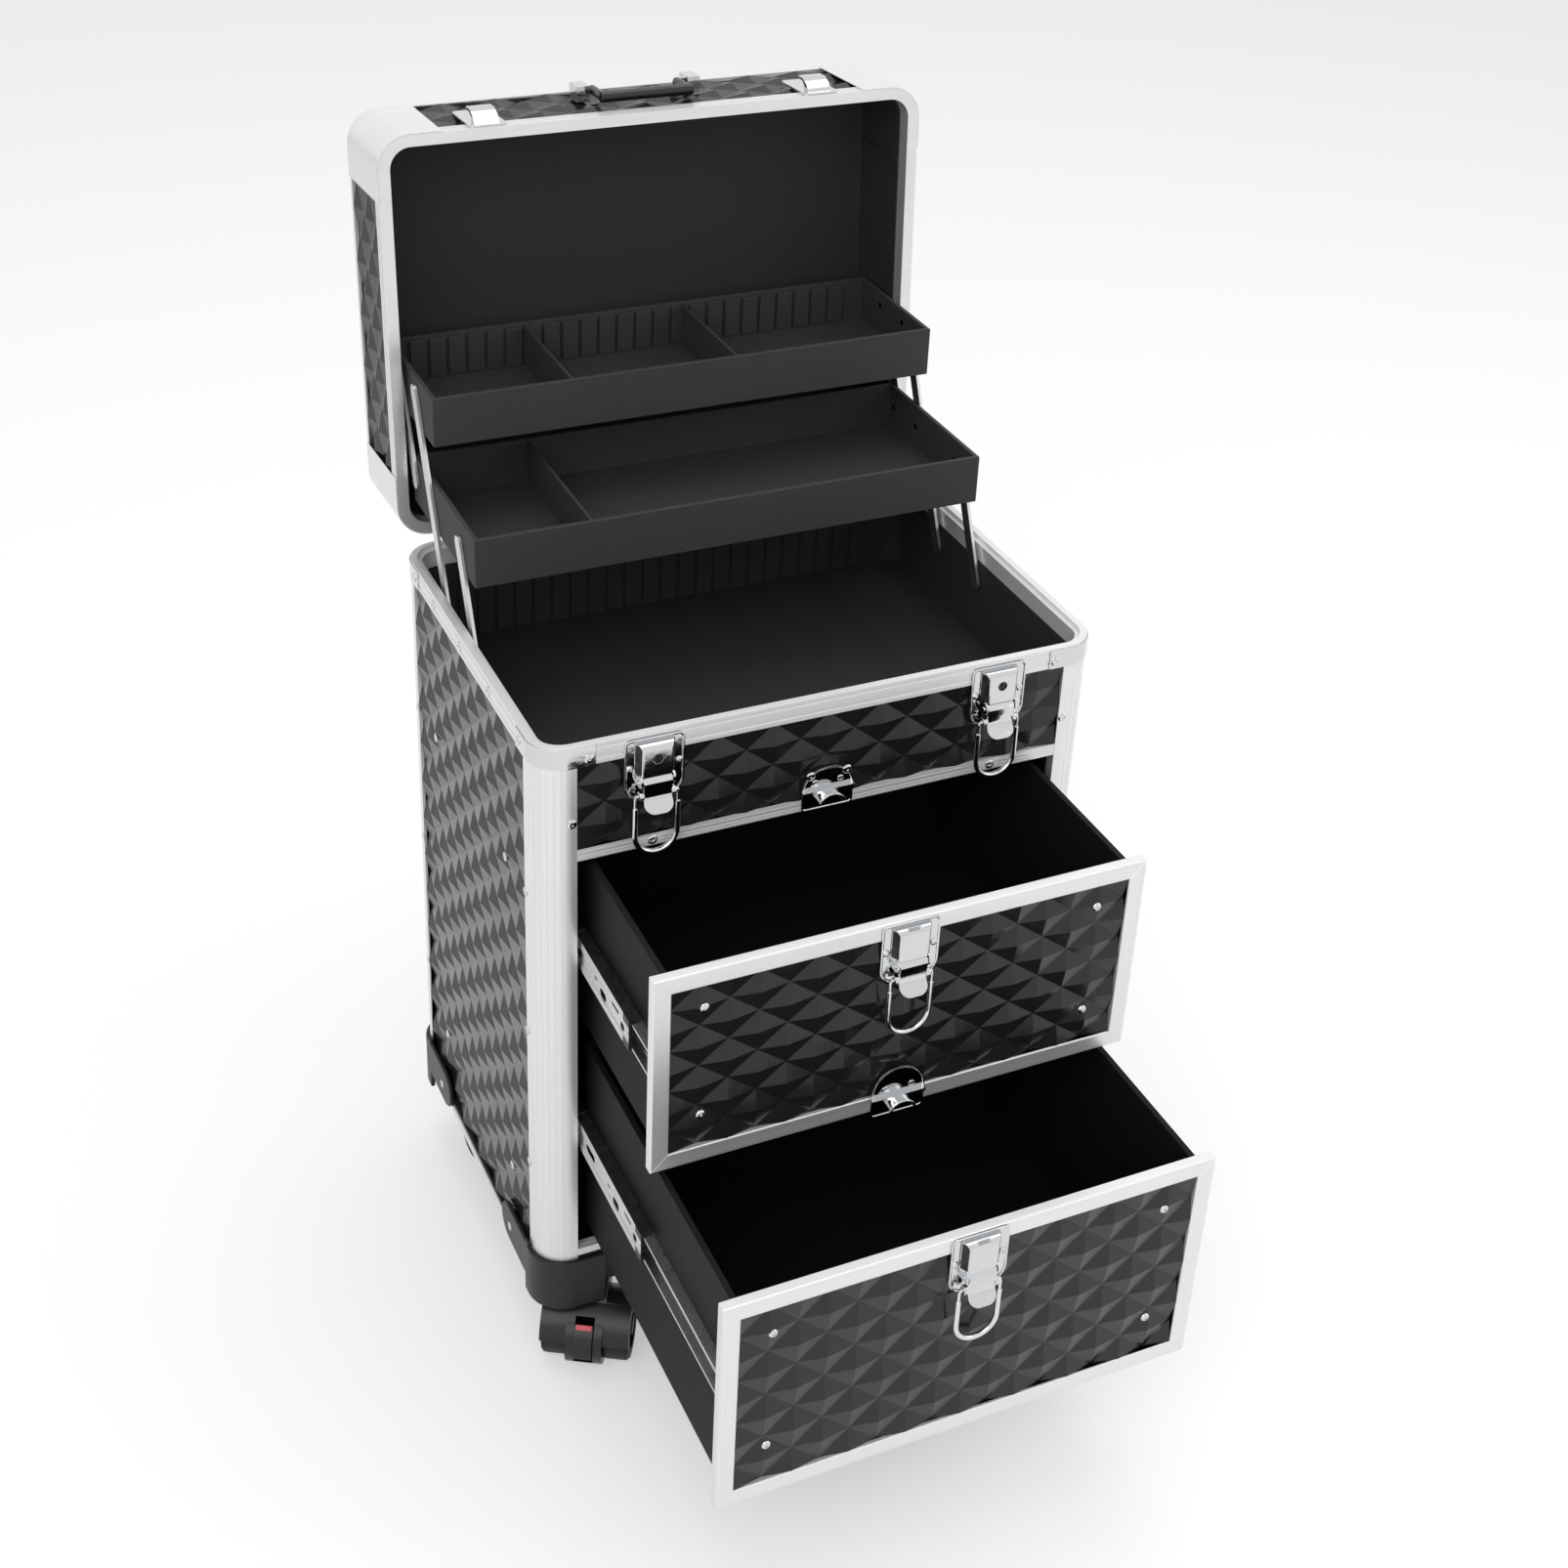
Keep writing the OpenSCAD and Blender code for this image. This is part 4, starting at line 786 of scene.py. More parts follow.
    def paint_faces(self, slot: int, test: FaceTest) -> "Piece":
        """Gives the faces that pass the test another material slot."""
        for face in self.obj.data.polygons:
            if test(face.center, face.normal):
                face.material_index = slot
        return self

    def settle(self, name: str, body: str, slot: Slot, replaces: Sequence[str] = ()) -> "Piece":
        """Names the finished piece, lets it ride on its body and reports it.

        Args:
            name: The piece's final name.
            body: The CAD body it moves with.
            slot: The record's material slot it takes its finish from; not used.
            replaces: The CAD nodes it stands for.

        Returns:
            The piece.
        """
        self.obj.name = name
        self.obj.data.name = name
        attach(self.obj, body)
        if replaces:
            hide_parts(*replaces)
        LOG.info("%s on %s, %d faces", name, body, len(self.obj.data.polygons))
        return self


def body_of(node: str) -> str:
    """The CAD body that a node belongs to."""
    return bpy.data.objects[node]["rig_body"]


def finished(node: str, finish: Finish, width: float, segments: int = 2,
             angle: float = 34.0) -> Piece:
    """A CAD node's shape with its edges softened, in place of the node.

    Args:
        node: The CAD node.
        finish: The piece's finish.
        width: Width of the softened edges.
        segments: Segments across a softened edge.
        angle: Smallest angle of an edge that is softened, in degrees.

    Returns:
        The piece, riding on the node's body.
    """
    made = Piece.from_node(node, node + "_finished").soften(width, segments, angle)
    made.paint(finish)
    return made.settle(node + "_finished", body_of(node), finish.slot, [node])


def embossed(node: str) -> Piece:
    """A skin whose facets stay flat between slightly rounded ridges."""
    return finished(node, SKIN, 0.32 * MM, 2, 4.0)


@dataclass(frozen=True)
class RivetHead:
    """A pop rivet: a domed flange round its hollow core."""

    radius: float = 3.0 * MM
    height: float = 1.0 * MM

    def model(self) -> Piece:
        """One rivet head at the origin, facing +Z."""
        made = Piece.rod("rivet_head", (0, 0, 0), (0, 0, self.height * 0.35), self.radius, 20)
        steps = ((0.12, 0.28), (0.2, 0.22), (0.24, 0.12), (0.12, 0.0), (0.02, -0.45))
        with made.editing():
            for inset, rise in steps:
                top = max(v.co.z for v in bmesh.from_edit_mesh(made.obj.data).verts)
                if rise >= 0:
                    made.pick_faces(lambda c, n, t=top: c.z > t - 1e-6 and n.z > 0.9
                                    and c.xy.length < 1e-5)
                bpy.ops.mesh.inset(thickness=inset * self.radius)
                bpy.ops.transform.translate(value=(0, 0, rise * self.height))
        return made.smooth(50)

    def heads(self, places: Sequence[tuple[Point, Point]]) -> Piece:
        """Rivet heads at several places, as one piece.

        Args:
            places: For each head the middle of its foot and the way it faces.

        Returns:
            The joined heads.
        """
        first = self.model()
        made = []
        for foot, facing in places:
            turn = Vector(facing).to_track_quat("Z", "Y").to_matrix().to_4x4()
            made.append(first.copy(Matrix.Translation(foot) @ turn))
        bpy.data.objects.remove(first.obj)
        return made[0].join(made[1:])


def rivet_places(node: str) -> list[tuple[Vector, Vector]]:
    """Where the CAD rivets of a node sit and which way they face.

    Args:
        node: A node whose every loose part is a rivet head on an upright face.

    Returns:
        The middle of each head's foot, and its facing.
    """
    probe = Piece.from_node(node, "rivet_probe")
    mesh = bmesh.new()
    mesh.from_mesh(probe.obj.data)
    bpy.data.objects.remove(probe.obj)
    left = set(mesh.verts)
    places = []
    while left:
        island, queue = set(), [next(iter(left))]
        while queue:
            vert = queue.pop()
            if vert not in island:
                island.add(vert)
                queue += [e.other_vert(vert) for e in vert.link_edges]
        left -= island
        low, high = (Vector([pick(v.co[k] for v in island) for k in range(3)])
                     for pick in (min, max))
        size, centre = high - low, (low + high) / 2
        axis = min(range(2), key=lambda k: size[k])
        sign = math.copysign(1.0, centre.x) if axis == 0 else -1.0
        facing = Vector((sign, 0, 0)) if axis == 0 else Vector((0, sign, 0))
        places.append((centre - facing * size[axis] / 2, facing))
    mesh.free()
    return sorted(places, key=lambda p: tuple(round(x, 5) for x in p[0]))


# Latches


@dataclass
class DrawLatch:
    """A draw latch on an upright face: plate, hood, lever and the catch for its bail.

    Its own frame has the foot of the plate at the origin and faces -Y.
    """

    origin: Vector
    keyhole: bool
    width: float = 37.0 * MM
    height: float = 41.0 * MM
    plate_t: float = 1.4 * MM
    hood_w: float = 18.4 * MM
    hood_foot: float = 25.0 * MM
    pivot: tuple[float, float] = (-4.5 * MM, 14.0 * MM)
    ring: tuple[float, float] = (-5.0 * MM, 5.0 * MM)
    lever_w: float = 17.6 * MM

    def plate(self) -> Piece:
        """The pressed plate with its raised edge, rivets, ears, pin and hood."""
        half = self.width / 2
        made = Piece.block("plate", (-half, -self.plate_t, 0), (half, 0, self.height))
        made.round_edges(lambda m, d: abs(d.y) > 0.9 and m.z > self.height / 2, 3.5 * MM, 5)
        made.round_edges(lambda m, d: abs(d.y) > 0.9 and m.z < self.height / 2
                         and abs(m.x) > half - 1e-4, 10 * MM, 6)
        with made.editing():
            made.pick_faces(lambda c, n: n.y < -0.9)
            bpy.ops.mesh.inset(thickness=1.1 * MM)
            bpy.ops.mesh.inset(thickness=0.5 * MM)
            bpy.ops.transform.translate(value=(0, 0.6 * MM, 0))
        made.soften(0.25 * MM)
        parts = [self.hood(), *self.ears(),
                 RivetHead(2.2 * MM, 1.1 * MM).heads(
                     [((s * (half - 3.4 * MM), -0.8 * MM, self.height - 19 * MM), (0, -1, 0))
                      for s in (-1, 1)])]
        for part in (made, *parts[1:]):
            part.paint(CHROME)
        return made.join(parts).place(Matrix.Translation(self.origin))

    def hood(self) -> Piece:
        """The domed housing over the lever's spring, with the lock's keyhole."""
        half, low, high = self.hood_w / 2, 17.6 * MM, self.height - 2.4 * MM
        depth = 6.4 * MM
        made = Piece.block("hood", (-half, -depth, low), (half, -0.6 * MM, high))
        with made.editing():
            made.pick_faces(lambda c, n: n.y > 0.9)
            bpy.ops.transform.resize(value=(self.hood_foot / self.hood_w, 1, 1))
        made.round_edges(lambda m, d: abs(d.x) > 0.9 and m.y < -depth + 1e-5 and m.z > high - 1e-5,
                         3.4 * MM, 6)
        made.round_edges(lambda m, d: abs(d.z) > 0.9 and m.y < -depth + 1e-5, 1.1 * MM, 4)
        if self.keyhole:
            centre = (0, -depth, low + 11.4 * MM)
            made.subtract(Piece.rod("barrel", Vector(centre) - Vector((0, 1 * MM, 0)),
                                    Vector(centre) + Vector((0, 2.2 * MM, 0)), 3.1 * MM, 28))
        else:
            made.subtract(Piece.block("notch", (-4.2 * MM, 0.8 * MM - depth, high - 1.6 * MM),
                                      (4.2 * MM, 2.6 * MM - depth, high + 1 * MM)))
        made.soften(0.35 * MM, 2, 25.0)
        # Painted shade: dark panels on both sloping sides of the hood.
        painted_shade_parts = self.painted_shade_pads(low, high, depth)
        if self.keyhole:
            # Painted shade: the keyhole's core is dark, standing in for the shade deep in the
            # hole.
            core = Piece.rod("core", (0, -depth + 2.2 * MM, centre[2]),
                             (0, -depth + 0.9 * MM, centre[2]), 2.7 * MM, 28)
            core.subtract(Piece.block("key_slot", (-0.5 * MM, -depth, centre[2] - 1.9 * MM),
                                      (0.5 * MM, -depth + 2 * MM, centre[2] + 1.9 * MM)))
            painted_shade_parts.append(core.soften(0.12 * MM, 1))
        # Painted shade: the side panels and the keyhole's core take the dark finish.
        for pad in painted_shade_parts:
            pad.paint(BLACK_STEEL)
        return made.paint(CHROME).join(painted_shade_parts)

    def painted_shade_pads(self, low: float, high: float, depth: float) -> list[Piece]:
        """The dark panels let into both sloping sides of the hood, painted shade standing in for
        the shade inside its open sides.
        """
        run, rise = (self.hood_foot - self.hood_w) / 2, depth - 0.6 * MM
        slope = math.hypot(run, rise)
        pad = Piece.block("pad", (-0.3 * MM, 0.8 * MM - slope / 2, low + 1.6 * MM),
                          (0.3 * MM, slope / 2 - 0.9 * MM, high - 1.0 * MM))
        pad.round_edges(lambda m, d: abs(d.x) > 0.9 and m.y < 0 and m.z > high - 2 * MM,
                        3.0 * MM, 6)
        pad.soften(0.2 * MM).place(Matrix.Rotation(-math.atan2(run, rise), 4, "Z"))
        middle = ((self.hood_w + self.hood_foot) / 4 - 0.02 * MM, -(depth + 0.6 * MM) / 2, 0)
        pad.place(Matrix.Translation(middle))
        return [pad, pad.copy(Matrix.Diagonal((-1, 1, 1, 1)))]

    def ears(self) -> list[Piece]:
        """The two ears that carry the lever's pin, and the pin."""
        made = []
        for side in (-1, 1):
            x = side * (self.lever_w / 2 + 0.6 * MM)
            low, high = sorted((x, x + side * 1.3 * MM))
            ear = Piece.block("ear", (low, self.pivot[0] - 3.2 * MM, self.pivot[1] - 3.4 * MM),
                              (high, -0.8 * MM, self.pivot[1] + 4.4 * MM))
            ear.round_edges(lambda m, d: abs(d.x) > 0.9 and m.y < self.pivot[0], 2.8 * MM, 5)
            made.append(ear.soften(0.2 * MM))
        reach = self.lever_w / 2 + 2.5 * MM
        pin = Piece.rod("pin", (-reach, *self.pivot), (reach, *self.pivot), 1.4 * MM, 20)
        made.append(pin.soften(0.3 * MM))
        return made

    def lever(self) -> Piece:
        """The curved tongue with its rolled top, round end and the bosses of the bail."""
        half = self.lever_w / 2
        line = ((-2.4, 12.6), (-5.4, 15.9), (-7.3, 13.8), (-6.7, 10.0), (-6.2, 5.4),
                (-6.5, 2.4), (-7.9, -0.2), (-12.2, -5.0))
        y, z = (value * MM for value in line[0])
        tongue = Piece.block("tongue", (-half, y, z), (half, y + 1 * MM, z + 1 * MM))
        with tongue.editing():
            tongue.pick_faces(lambda c, n: n.z > -0.9)
            bpy.ops.mesh.delete(type="FACE")
        with tongue.editing("EDGE"):
            tongue.pick_edges(lambda m, d: abs(d.x) > 0.9 and m.y < y + 1e-6)
            for (y0, z0), (y1, z1) in zip(line, line[1:]):
                bpy.ops.mesh.extrude_region_move(
                    TRANSFORM_OT_translate={"value": (0, (y1 - y0) * MM, (z1 - z0) * MM)})
        with tongue.editing("VERT"):
            mesh = bmesh.from_edit_mesh(tongue.obj.data)
            for vert in mesh.verts:
                vert.select_set(vert.co.z < (line[-1][1] + 0.1) * MM)
            bmesh.update_edit_mesh(tongue.obj.data)
            bpy.ops.mesh.bevel(offset=6.2 * MM, segments=12, affect="VERTICES")
        tongue.thicken(1.3 * MM, 0.0)
        with tongue.editing():
            bpy.ops.mesh.select_all(action="SELECT")
            bpy.ops.mesh.normals_make_consistent(inside=False)
        tongue.soften(0.3 * MM, 2, 50.0)
        reach = 11.2 * MM
        parts = [Piece.rod("roll", (-half, *self.pivot), (half, *self.pivot), 2.5 * MM,
                           24).soften(0.3 * MM)]
        for side in (-1, 1):
            end = Vector((side * (reach + MM), *self.ring))
            boss = Piece.rod("boss", (side * (half - 0.4 * MM), *self.ring),
                             (side * reach, *self.ring), 2.9 * MM, 24)
            boss.subtract(Piece.rod("wire_hole", end, end - Vector((side * 3.0 * MM, 0, 0)),
                                    1.45 * MM, 20))
            parts.append(boss.soften(0.3 * MM))
        return tongue.join(parts).place(Matrix.Translation(self.origin))


@dataclass
class BailCatch:
    """The half round catch that a bail hooks over, facing -Y, its foot at the origin."""

    origin: Vector
    width: float = 34.0 * MM
    height: float = 29.0 * MM
    plate_t: float = 1.2 * MM
    ledge: float = 13.5 * MM
    horn_r: float = 9.0 * MM

    def model(self) -> Piece:
        """The domed plate with a ledge across it, a hollow horn and two rivets."""
        half = self.width / 2
        made = Piece.block("catch", (-half, -self.plate_t, 0), (half, 0, self.height))
        made.round_edges(lambda m, d: abs(d.y) > 0.9 and m.z > self.height / 2,
                         min(half, self.height - self.ledge) - 0.5 * MM, 12)
        made.round_edges(lambda m, d: abs(d.y) > 0.9 and m.z < 1e-5, 3 * MM, 4)
        with made.editing():
            made.pick_faces(lambda c, n: n.y < -0.9)
            bpy.ops.mesh.inset(thickness=0.9 * MM)
            bpy.ops.mesh.inset(thickness=0.4 * MM)
            bpy.ops.transform.translate(value=(0, 0.45 * MM, 0))
        made.soften(0.2 * MM)
        ledge = Piece.block("ledge", (-half - 0.4 * MM, -3.4 * MM, self.ledge - 1.2 * MM),
                            (half + 0.4 * MM, -0.5 * MM, self.ledge + 1.2 * MM))
        ledge.round_edges(lambda m, d: abs(d.z) > 0.9 and m.y < -3 * MM, 0.8 * MM, 3)
        rivets = RivetHead(2.0 * MM, 0.6 * MM).heads(
            [((s * (half - 8.6 * MM), -0.7 * MM, self.ledge + 5.6 * MM), (0, -1, 0))
             for s in (-1, 1)])
        return made.join([ledge.soften(0.35 * MM), self.horn(), rivets]).paint(CHROME).place(
            Matrix.Translation(self.origin))

    def horn(self) -> Piece:
        """The arched tongue under the ledge, with a bead round its mouth."""
        centre = (0.0, self.ledge - self.horn_r + 0.6 * MM)
        r, bend = self.horn_r, math.radians(68)
        made = Piece.arch("horn", centre, (r - 1.3 * MM, r), (-9.0 * MM, -0.6 * MM), bend)
        bead = Piece.arch("bead", centre, (r - 0.8 * MM, r + 0.5 * MM), (-8.8 * MM, -7.2 * MM),
                          bend)
        return made.soften(0.3 * MM, 2, 50.0).join([bead.soften(0.45 * MM, 3, 50.0)])


@dataclass
class Bail:
    """The wire loop of a latch: thin hooks at its pivot, a thick round-ended loop below."""

    origin: Vector
    ring: tuple[float, float] = (-5.0 * MM, 5.0 * MM)
    half_w: float = 13.2 * MM
    length: float = 40.4 * MM
    wire_r: float = 1.7 * MM
    hook_r: float = 1.05 * MM
    hook_l: float = 7.5 * MM
    inside: float = 9.4 * MM

    def model(self) -> Piece:
        """The loop with its two hooks."""
        y, z = self.ring
        loop = Piece.wire("loop", (-self.half_w, y, z - self.hook_l), self.wire_r,
                          [("run", self.length - self.half_w - self.hook_l, None),
                           ("turn", math.pi, (0, y, z - self.length + self.half_w)),
                           ("run", self.length - self.half_w - self.hook_l, None)])
        parts = []
        for side in (-1, 1):
            bend = 1.8 * MM
            parts.append(Piece.wire("hook", (side * self.half_w, y, z - self.hook_l - 1 * MM),
                                    self.hook_r,
                                    [("run", -(self.hook_l + 1 * MM - bend), None),
                                     ("turn", side * math.pi / 2,
                                      (side * (self.half_w - bend), y, z - bend)),
                                     ("run", -(self.half_w - bend - self.inside), None)]))
        return loop.soften(0.4 * MM, 2, 60.0).join(parts).place(Matrix.Translation(self.origin))


# Sub-assemblies


@dataclass
class Body:
    """The fixed body: skins, columns, rims, linings, latches and slides' outer rails."""

    latch_x: float = 112.0 * MM
    latch_z: float = 437.0 * MM
    rail_z: float = 402.1 * MM
    rail_h: float = 8.0 * MM
    sill_z: float = 92.5 * MM
    sill_h: float = 5.5 * MM
    strip_t: float = 1.2 * MM
    strip_h: float = 6.0 * MM
    guard_side: float = 74.0 * MM
    guard_front: float = 42.0 * MM
    rib_pitch: float = 13.0 * MM

    def build(self) -> None:
        """Builds and dresses every piece of the body."""
        embossed("side_skins")
        embossed("front_skin")
        embossed("back_skin")
        finished("corner_columns", FRAME_ALONG_Z, 0.22 * MM, 2)
        finished("top_rim", RIM_METAL, 0.3 * MM)
        finished("rim_corner_wraps", CHROME, 0.25 * MM)
        finished("corner_guards", PLASTIC, 1.1 * MM, 3)
        finished("hinge_body_leaves", STEEL, 0.3 * MM)
        finished("wall_boards", LID_LINING, 0.3 * MM)
        finished("floor_boards", BOARD, 0.5 * MM)
        self.rails()
        self.rivets()
        self.latches()
        self.compartment_lining()
        self.bay_lining()
        self.outer_rails()

    def rails(self) -> None:
        """The ridged rail under the panel, the sill and the strips along the base."""
        y = CASE.front_y
        made = []
        for z, h, lines in ((self.rail_z, self.rail_h, (1.6, 3.4, 6.4)),
                            (self.sill_z, self.sill_h, (1.5, 4.0))):
            bar = Piece.block("bar", (-CASE.open_x, y, z),
                              (CASE.open_x, CASE.middle_y - CASE.inner_y, z + h))
            for line in lines:
                bar.groove(2, z + line * MM, 0.5 * MM, (0, 0.4 * MM, 0))
            bar.groove(1, y + 3 * MM, 0.8 * MM, (0, 0, -0.4 * MM))
            made.append(bar.soften(0.25 * MM))
        for side in (-1, 1):
            x = side * CASE.half_w
            low, high = sorted((x, x + side * self.strip_t))
            reach = CASE.half_d - self.guard_side
            made.append(Piece.block("strip", (low, CASE.middle_y - reach, CASE.base_z),
                                    (high, CASE.middle_y + reach, CASE.base_z + self.strip_h))
                        .groove(2, CASE.base_z + 3 * MM, 0.6 * MM, (-side * 0.4 * MM, 0, 0))
                        .soften(0.25 * MM))
        reach = CASE.half_w - self.guard_front
        y = CASE.middle_y + CASE.half_d
        made.append(Piece.block("strip", (-reach, y, CASE.base_z),
                                (reach, y + self.strip_t, CASE.base_z + self.strip_h))
                    .groove(2, CASE.base_z + 3 * MM, 0.6 * MM, (0, -0.4 * MM, 0))
                    .soften(0.25 * MM))
        made[0].join(made[1:]).paint(RIM_METAL).settle(
            "ridged_rails", "root", Slot.ALUMINIUM, ["front_rails"])

    def rivets(self) -> None:
        """Pop rivet heads where the CAD has its rivets."""
        RivetHead().heads(rivet_places("body_rivets")).paint(CHROME).settle(
            "body_rivet_heads", "root", Slot.CHROME, ["body_rivets"])

    def latches(self) -> None:
        """The two lockable latches on the fixed panel and the catch on the rail."""
        plates = []
        for side, name in ((-1, "left"), (1, "right")):
            latch = DrawLatch(Vector((side * self.latch_x, CASE.front_y, self.latch_z)), True)
            plates.append(latch.plate())
            latch.lever().paint(CHROME).settle(
                f"{name}_latch_tongue", f"{name}_lever", Slot.CHROME, [f"{name}_lever"])
            Bail(latch.origin).model().paint(WIRE).settle(
                f"{name}_bail_loop", f"{name}_bail", Slot.WIRE, [f"{name}_bail"])
        catch = BailCatch(Vector((0, CASE.front_y, self.rail_z)))
        plates[0].join([plates[1], catch.model()]).settle(
            "body_latch_plates_pressed", "root", Slot.CHROME, ["body_latch_plates"])

    def compartment_lining(self) -> None:
        """The top compartment's lining with its ribbed back and front."""
        wall = 0.6 * MM
        liner = Piece.sheet("liner", 2 * CASE.inner_x - 0.2 * MM, 2 * CASE.inner_y - 0.2 * MM,
                            CASE.corner_r - CASE.wall)
        liner.place(Matrix.Translation((0, CASE.middle_y, CASE.compartment_z + 0.1 * MM)))
        height = CASE.rim_z - CASE.compartment_z - 0.2 * MM
        with liner.editing():
            bpy.ops.mesh.select_all(action="SELECT")
            liner.push((0, 0, height))
            bpy.ops.mesh.delete(type="FACE")
        self.walled(liner, wall)
        rib_w = self.rib_pitch - 1.9 * MM
        count = int(2 * (CASE.inner_x - CASE.corner_r) / self.rib_pitch)
        ribs = []
        for y, facing in ((CASE.inner_y - 0.1 * MM, -1), (-CASE.inner_y + 0.1 * MM, 1)):
            face = CASE.middle_y + y + facing * wall
            low, high = sorted((face, face + facing * 1.3 * MM))
            first = Piece.block("rib", (-rib_w / 2, low, CASE.compartment_z + 1 * MM),
                                (rib_w / 2, high, CASE.rim_z - 5 * MM))
            first.soften(0.6 * MM, 3)
            for k in range(count):
                x = (k - (count - 1) / 2) * self.rib_pitch
                ribs.append(first.copy(Matrix.Translation((x, 0, 0))))
            bpy.data.objects.remove(first.obj)
        liner.join(ribs).smooth().paint(LID_LINING).settle(
            "compartment_lining", "root", Slot.BOARD)

    @staticmethod
    def walled(liner: Piece, wall: float) -> None:
        """Gives a thin open box its wall, inwards, with smooth corners."""
        with liner.editing():
            bpy.ops.mesh.select_all(action="SELECT")
            bpy.ops.mesh.normals_make_consistent(inside=False)
        liner.thicken(wall, -1.0)
        liner.smooth()

    def bay_lining(self) -> None:
        """Black linings behind the corner columns, round the drawers' bay."""
        posts = []
        low, high = CASE.foot_z, self.rail_z
        for sx in (-1, 1):
            for sy in (-1, 1):
                x0, x1 = CASE.open_x, CASE.inner_x
                y0, y1 = CASE.half_d - CASE.column, CASE.inner_y
                post = Piece.block("post", (x0 + 0.4 * MM, y0 + 0.4 * MM, low),
                                   (x1 - 0.1 * MM, y1 - 0.1 * MM, high))
                with post.editing():
                    post.pick_faces(lambda c, n: n.x < -0.9 or n.y < -0.9)
                    bpy.ops.mesh.inset(thickness=0.4 * MM)
                post.soften(0.5 * MM)
                mirror = Matrix.Diagonal((sx, sy, 1, 1))
                posts.append(post.place(Matrix.Translation((0, CASE.middle_y, 0)) @ mirror))
        posts[0].join(posts[1:]).paint(BOARD).settle("bay_corner_posts", "root", Slot.BOARD)

    def outer_rails(self) -> None:
        """The outer slide rails."""
        finished("slide_outer_rails", STEEL, 0.25 * MM)


@dataclass
class Drawer:
    """A drawer on its two slides, with its mitred front, latch and, on the upper one, a catch."""

    name: str
    out: float
    low: float
    height: float
    catch: bool
    frame_w: float = 11.0 * MM
    frame_t: float = 6.6 * MM
    skin_in: float = 3.8 * MM
    side_gap: float = 2.0 * MM
    slide_drop: float = 63.0 * MM
    slide_h: float = 24.0 * MM
    lap: float = 1.5 * MM
    sheet: float = 1.2 * MM

    @property
    def half_w(self) -> float:
        """Half of the front's width."""
        return CASE.open_x - self.side_gap

    @property
    def face_y(self) -> float:
        """The plane of the front's face where the drawer stands."""
        return CASE.front_y - self.out

    @property
    def slide_z(self) -> float:
        """Height of the middle of the slides."""
        return self.low + self.height - self.slide_drop

    def build(self) -> None:
        """Builds and dresses every piece of the drawer."""
        skin = embossed(f"{self.name}_skin")
        finished(f"{self.name}_box", DRAWER_LINING, 0.45 * MM)
        self.frame()
        self.fittings(skin)
        self.slides()

    def frame(self) -> None:
        """The mitred front frame: four bars cut at their corners."""
        w, h, t = self.half_w, self.height / 2, self.frame_t
        bars = []
        for along, reach, across in ((0, w, h), (2, h, w)):
            for side in (-1, 1):
                low, high = [0.0, 0.0, 0.0], [0.0, t, 0.0]
                low[along], high[along] = -reach, reach
                other = 2 - along
                low[other], high[other] = sorted((side * across, side * (across - self.frame_w)))
                bar = Piece.block("bar", low, high)
                bar.round_edges(lambda m, d, a=along: abs(d[a]) > 0.9 and m.y < 1e-5, 0.9 * MM, 3)
                for end in (-1, 1):
                    corner, normal = [0.0, 0.0, 0.0], [0.0, 0.0, 0.0]
                    corner[along], corner[other] = end * reach, side * across
                    normal[along], normal[other] = end, -side
                    bar.cut(corner, normal, True)
                bar.soften(0.14 * MM, 1, 38.0)
                bar.paint(FRAME_ALONG_X, FRAME_ALONG_Z)
                bar.paint_faces(1 if along == 2 else 0, lambda c, n: True)
                bars.append(bar)
        bars[0].join(bars[1:]).place(Matrix.Translation((0, self.face_y, self.low + h))).settle(
            f"{self.name}_mitred_frame", self.name, Slot.ALUMINIUM, [f"{self.name}_frame"])

    def fittings(self, skin: Piece) -> None:
        """Latch plate, lever, rivets and catch.

        Args:
            skin: The embossed skin that the rivets sit on.
        """
        latch = DrawLatch(Vector((0, self.face_y, self.low + self.height - 41.3 * MM)), False)
        plate = latch.plate()
        x = self.half_w - self.frame_w - 20 * MM
        feet = [(self.on_skin(skin, s * x, self.low + share * self.height), (0, -1, 0))
                for s in (-1, 1) for share in (0.24, 0.81)]
        parts = [RivetHead(3.0 * MM, 1.9 * MM).heads(feet)]
        node = f"{self.name}_latch_plate"
        if self.catch:
            node = f"{self.name}_latch_fittings"
            parts.append(BailCatch(Vector((0, self.face_y, self.low - 4 * MM)),
                                   35 * MM, 34 * MM).model())
        parts[0].paint(CHROME)
        plate.join(parts).settle(
            f"{self.name}_latch_pressed", self.name, Slot.CHROME, [node])
        latch.lever().paint(CHROME).settle(
            f"{self.name}_latch_tongue", f"{self.name}_lever", Slot.CHROME,
            [f"{self.name}_lever"])
        Bail(latch.origin).model().paint(WIRE).settle(
            f"{self.name}_bail_loop", f"{self.name}_bail", Slot.WIRE, [f"{self.name}_bail"])

    def on_skin(self, skin: Piece, x: float, z: float) -> Vector:
        """Where a rivet's foot sits on the embossed skin, half a millimetre sunk."""
        bpy.context.view_layer.update()
        into = skin.obj.matrix_world.inverted()
        start = into @ Vector((x, self.face_y - 0.05, z))
        way = (into.to_3x3() @ Vector((0, 1, 0))).normalized()
        hit, place, _, _ = skin.obj.ray_cast(start, way)
        found = skin.obj.matrix_world @ place if hit else Vector((x, self.face_y, z))
        return found + Vector((0, 0.7 * MM, 0))

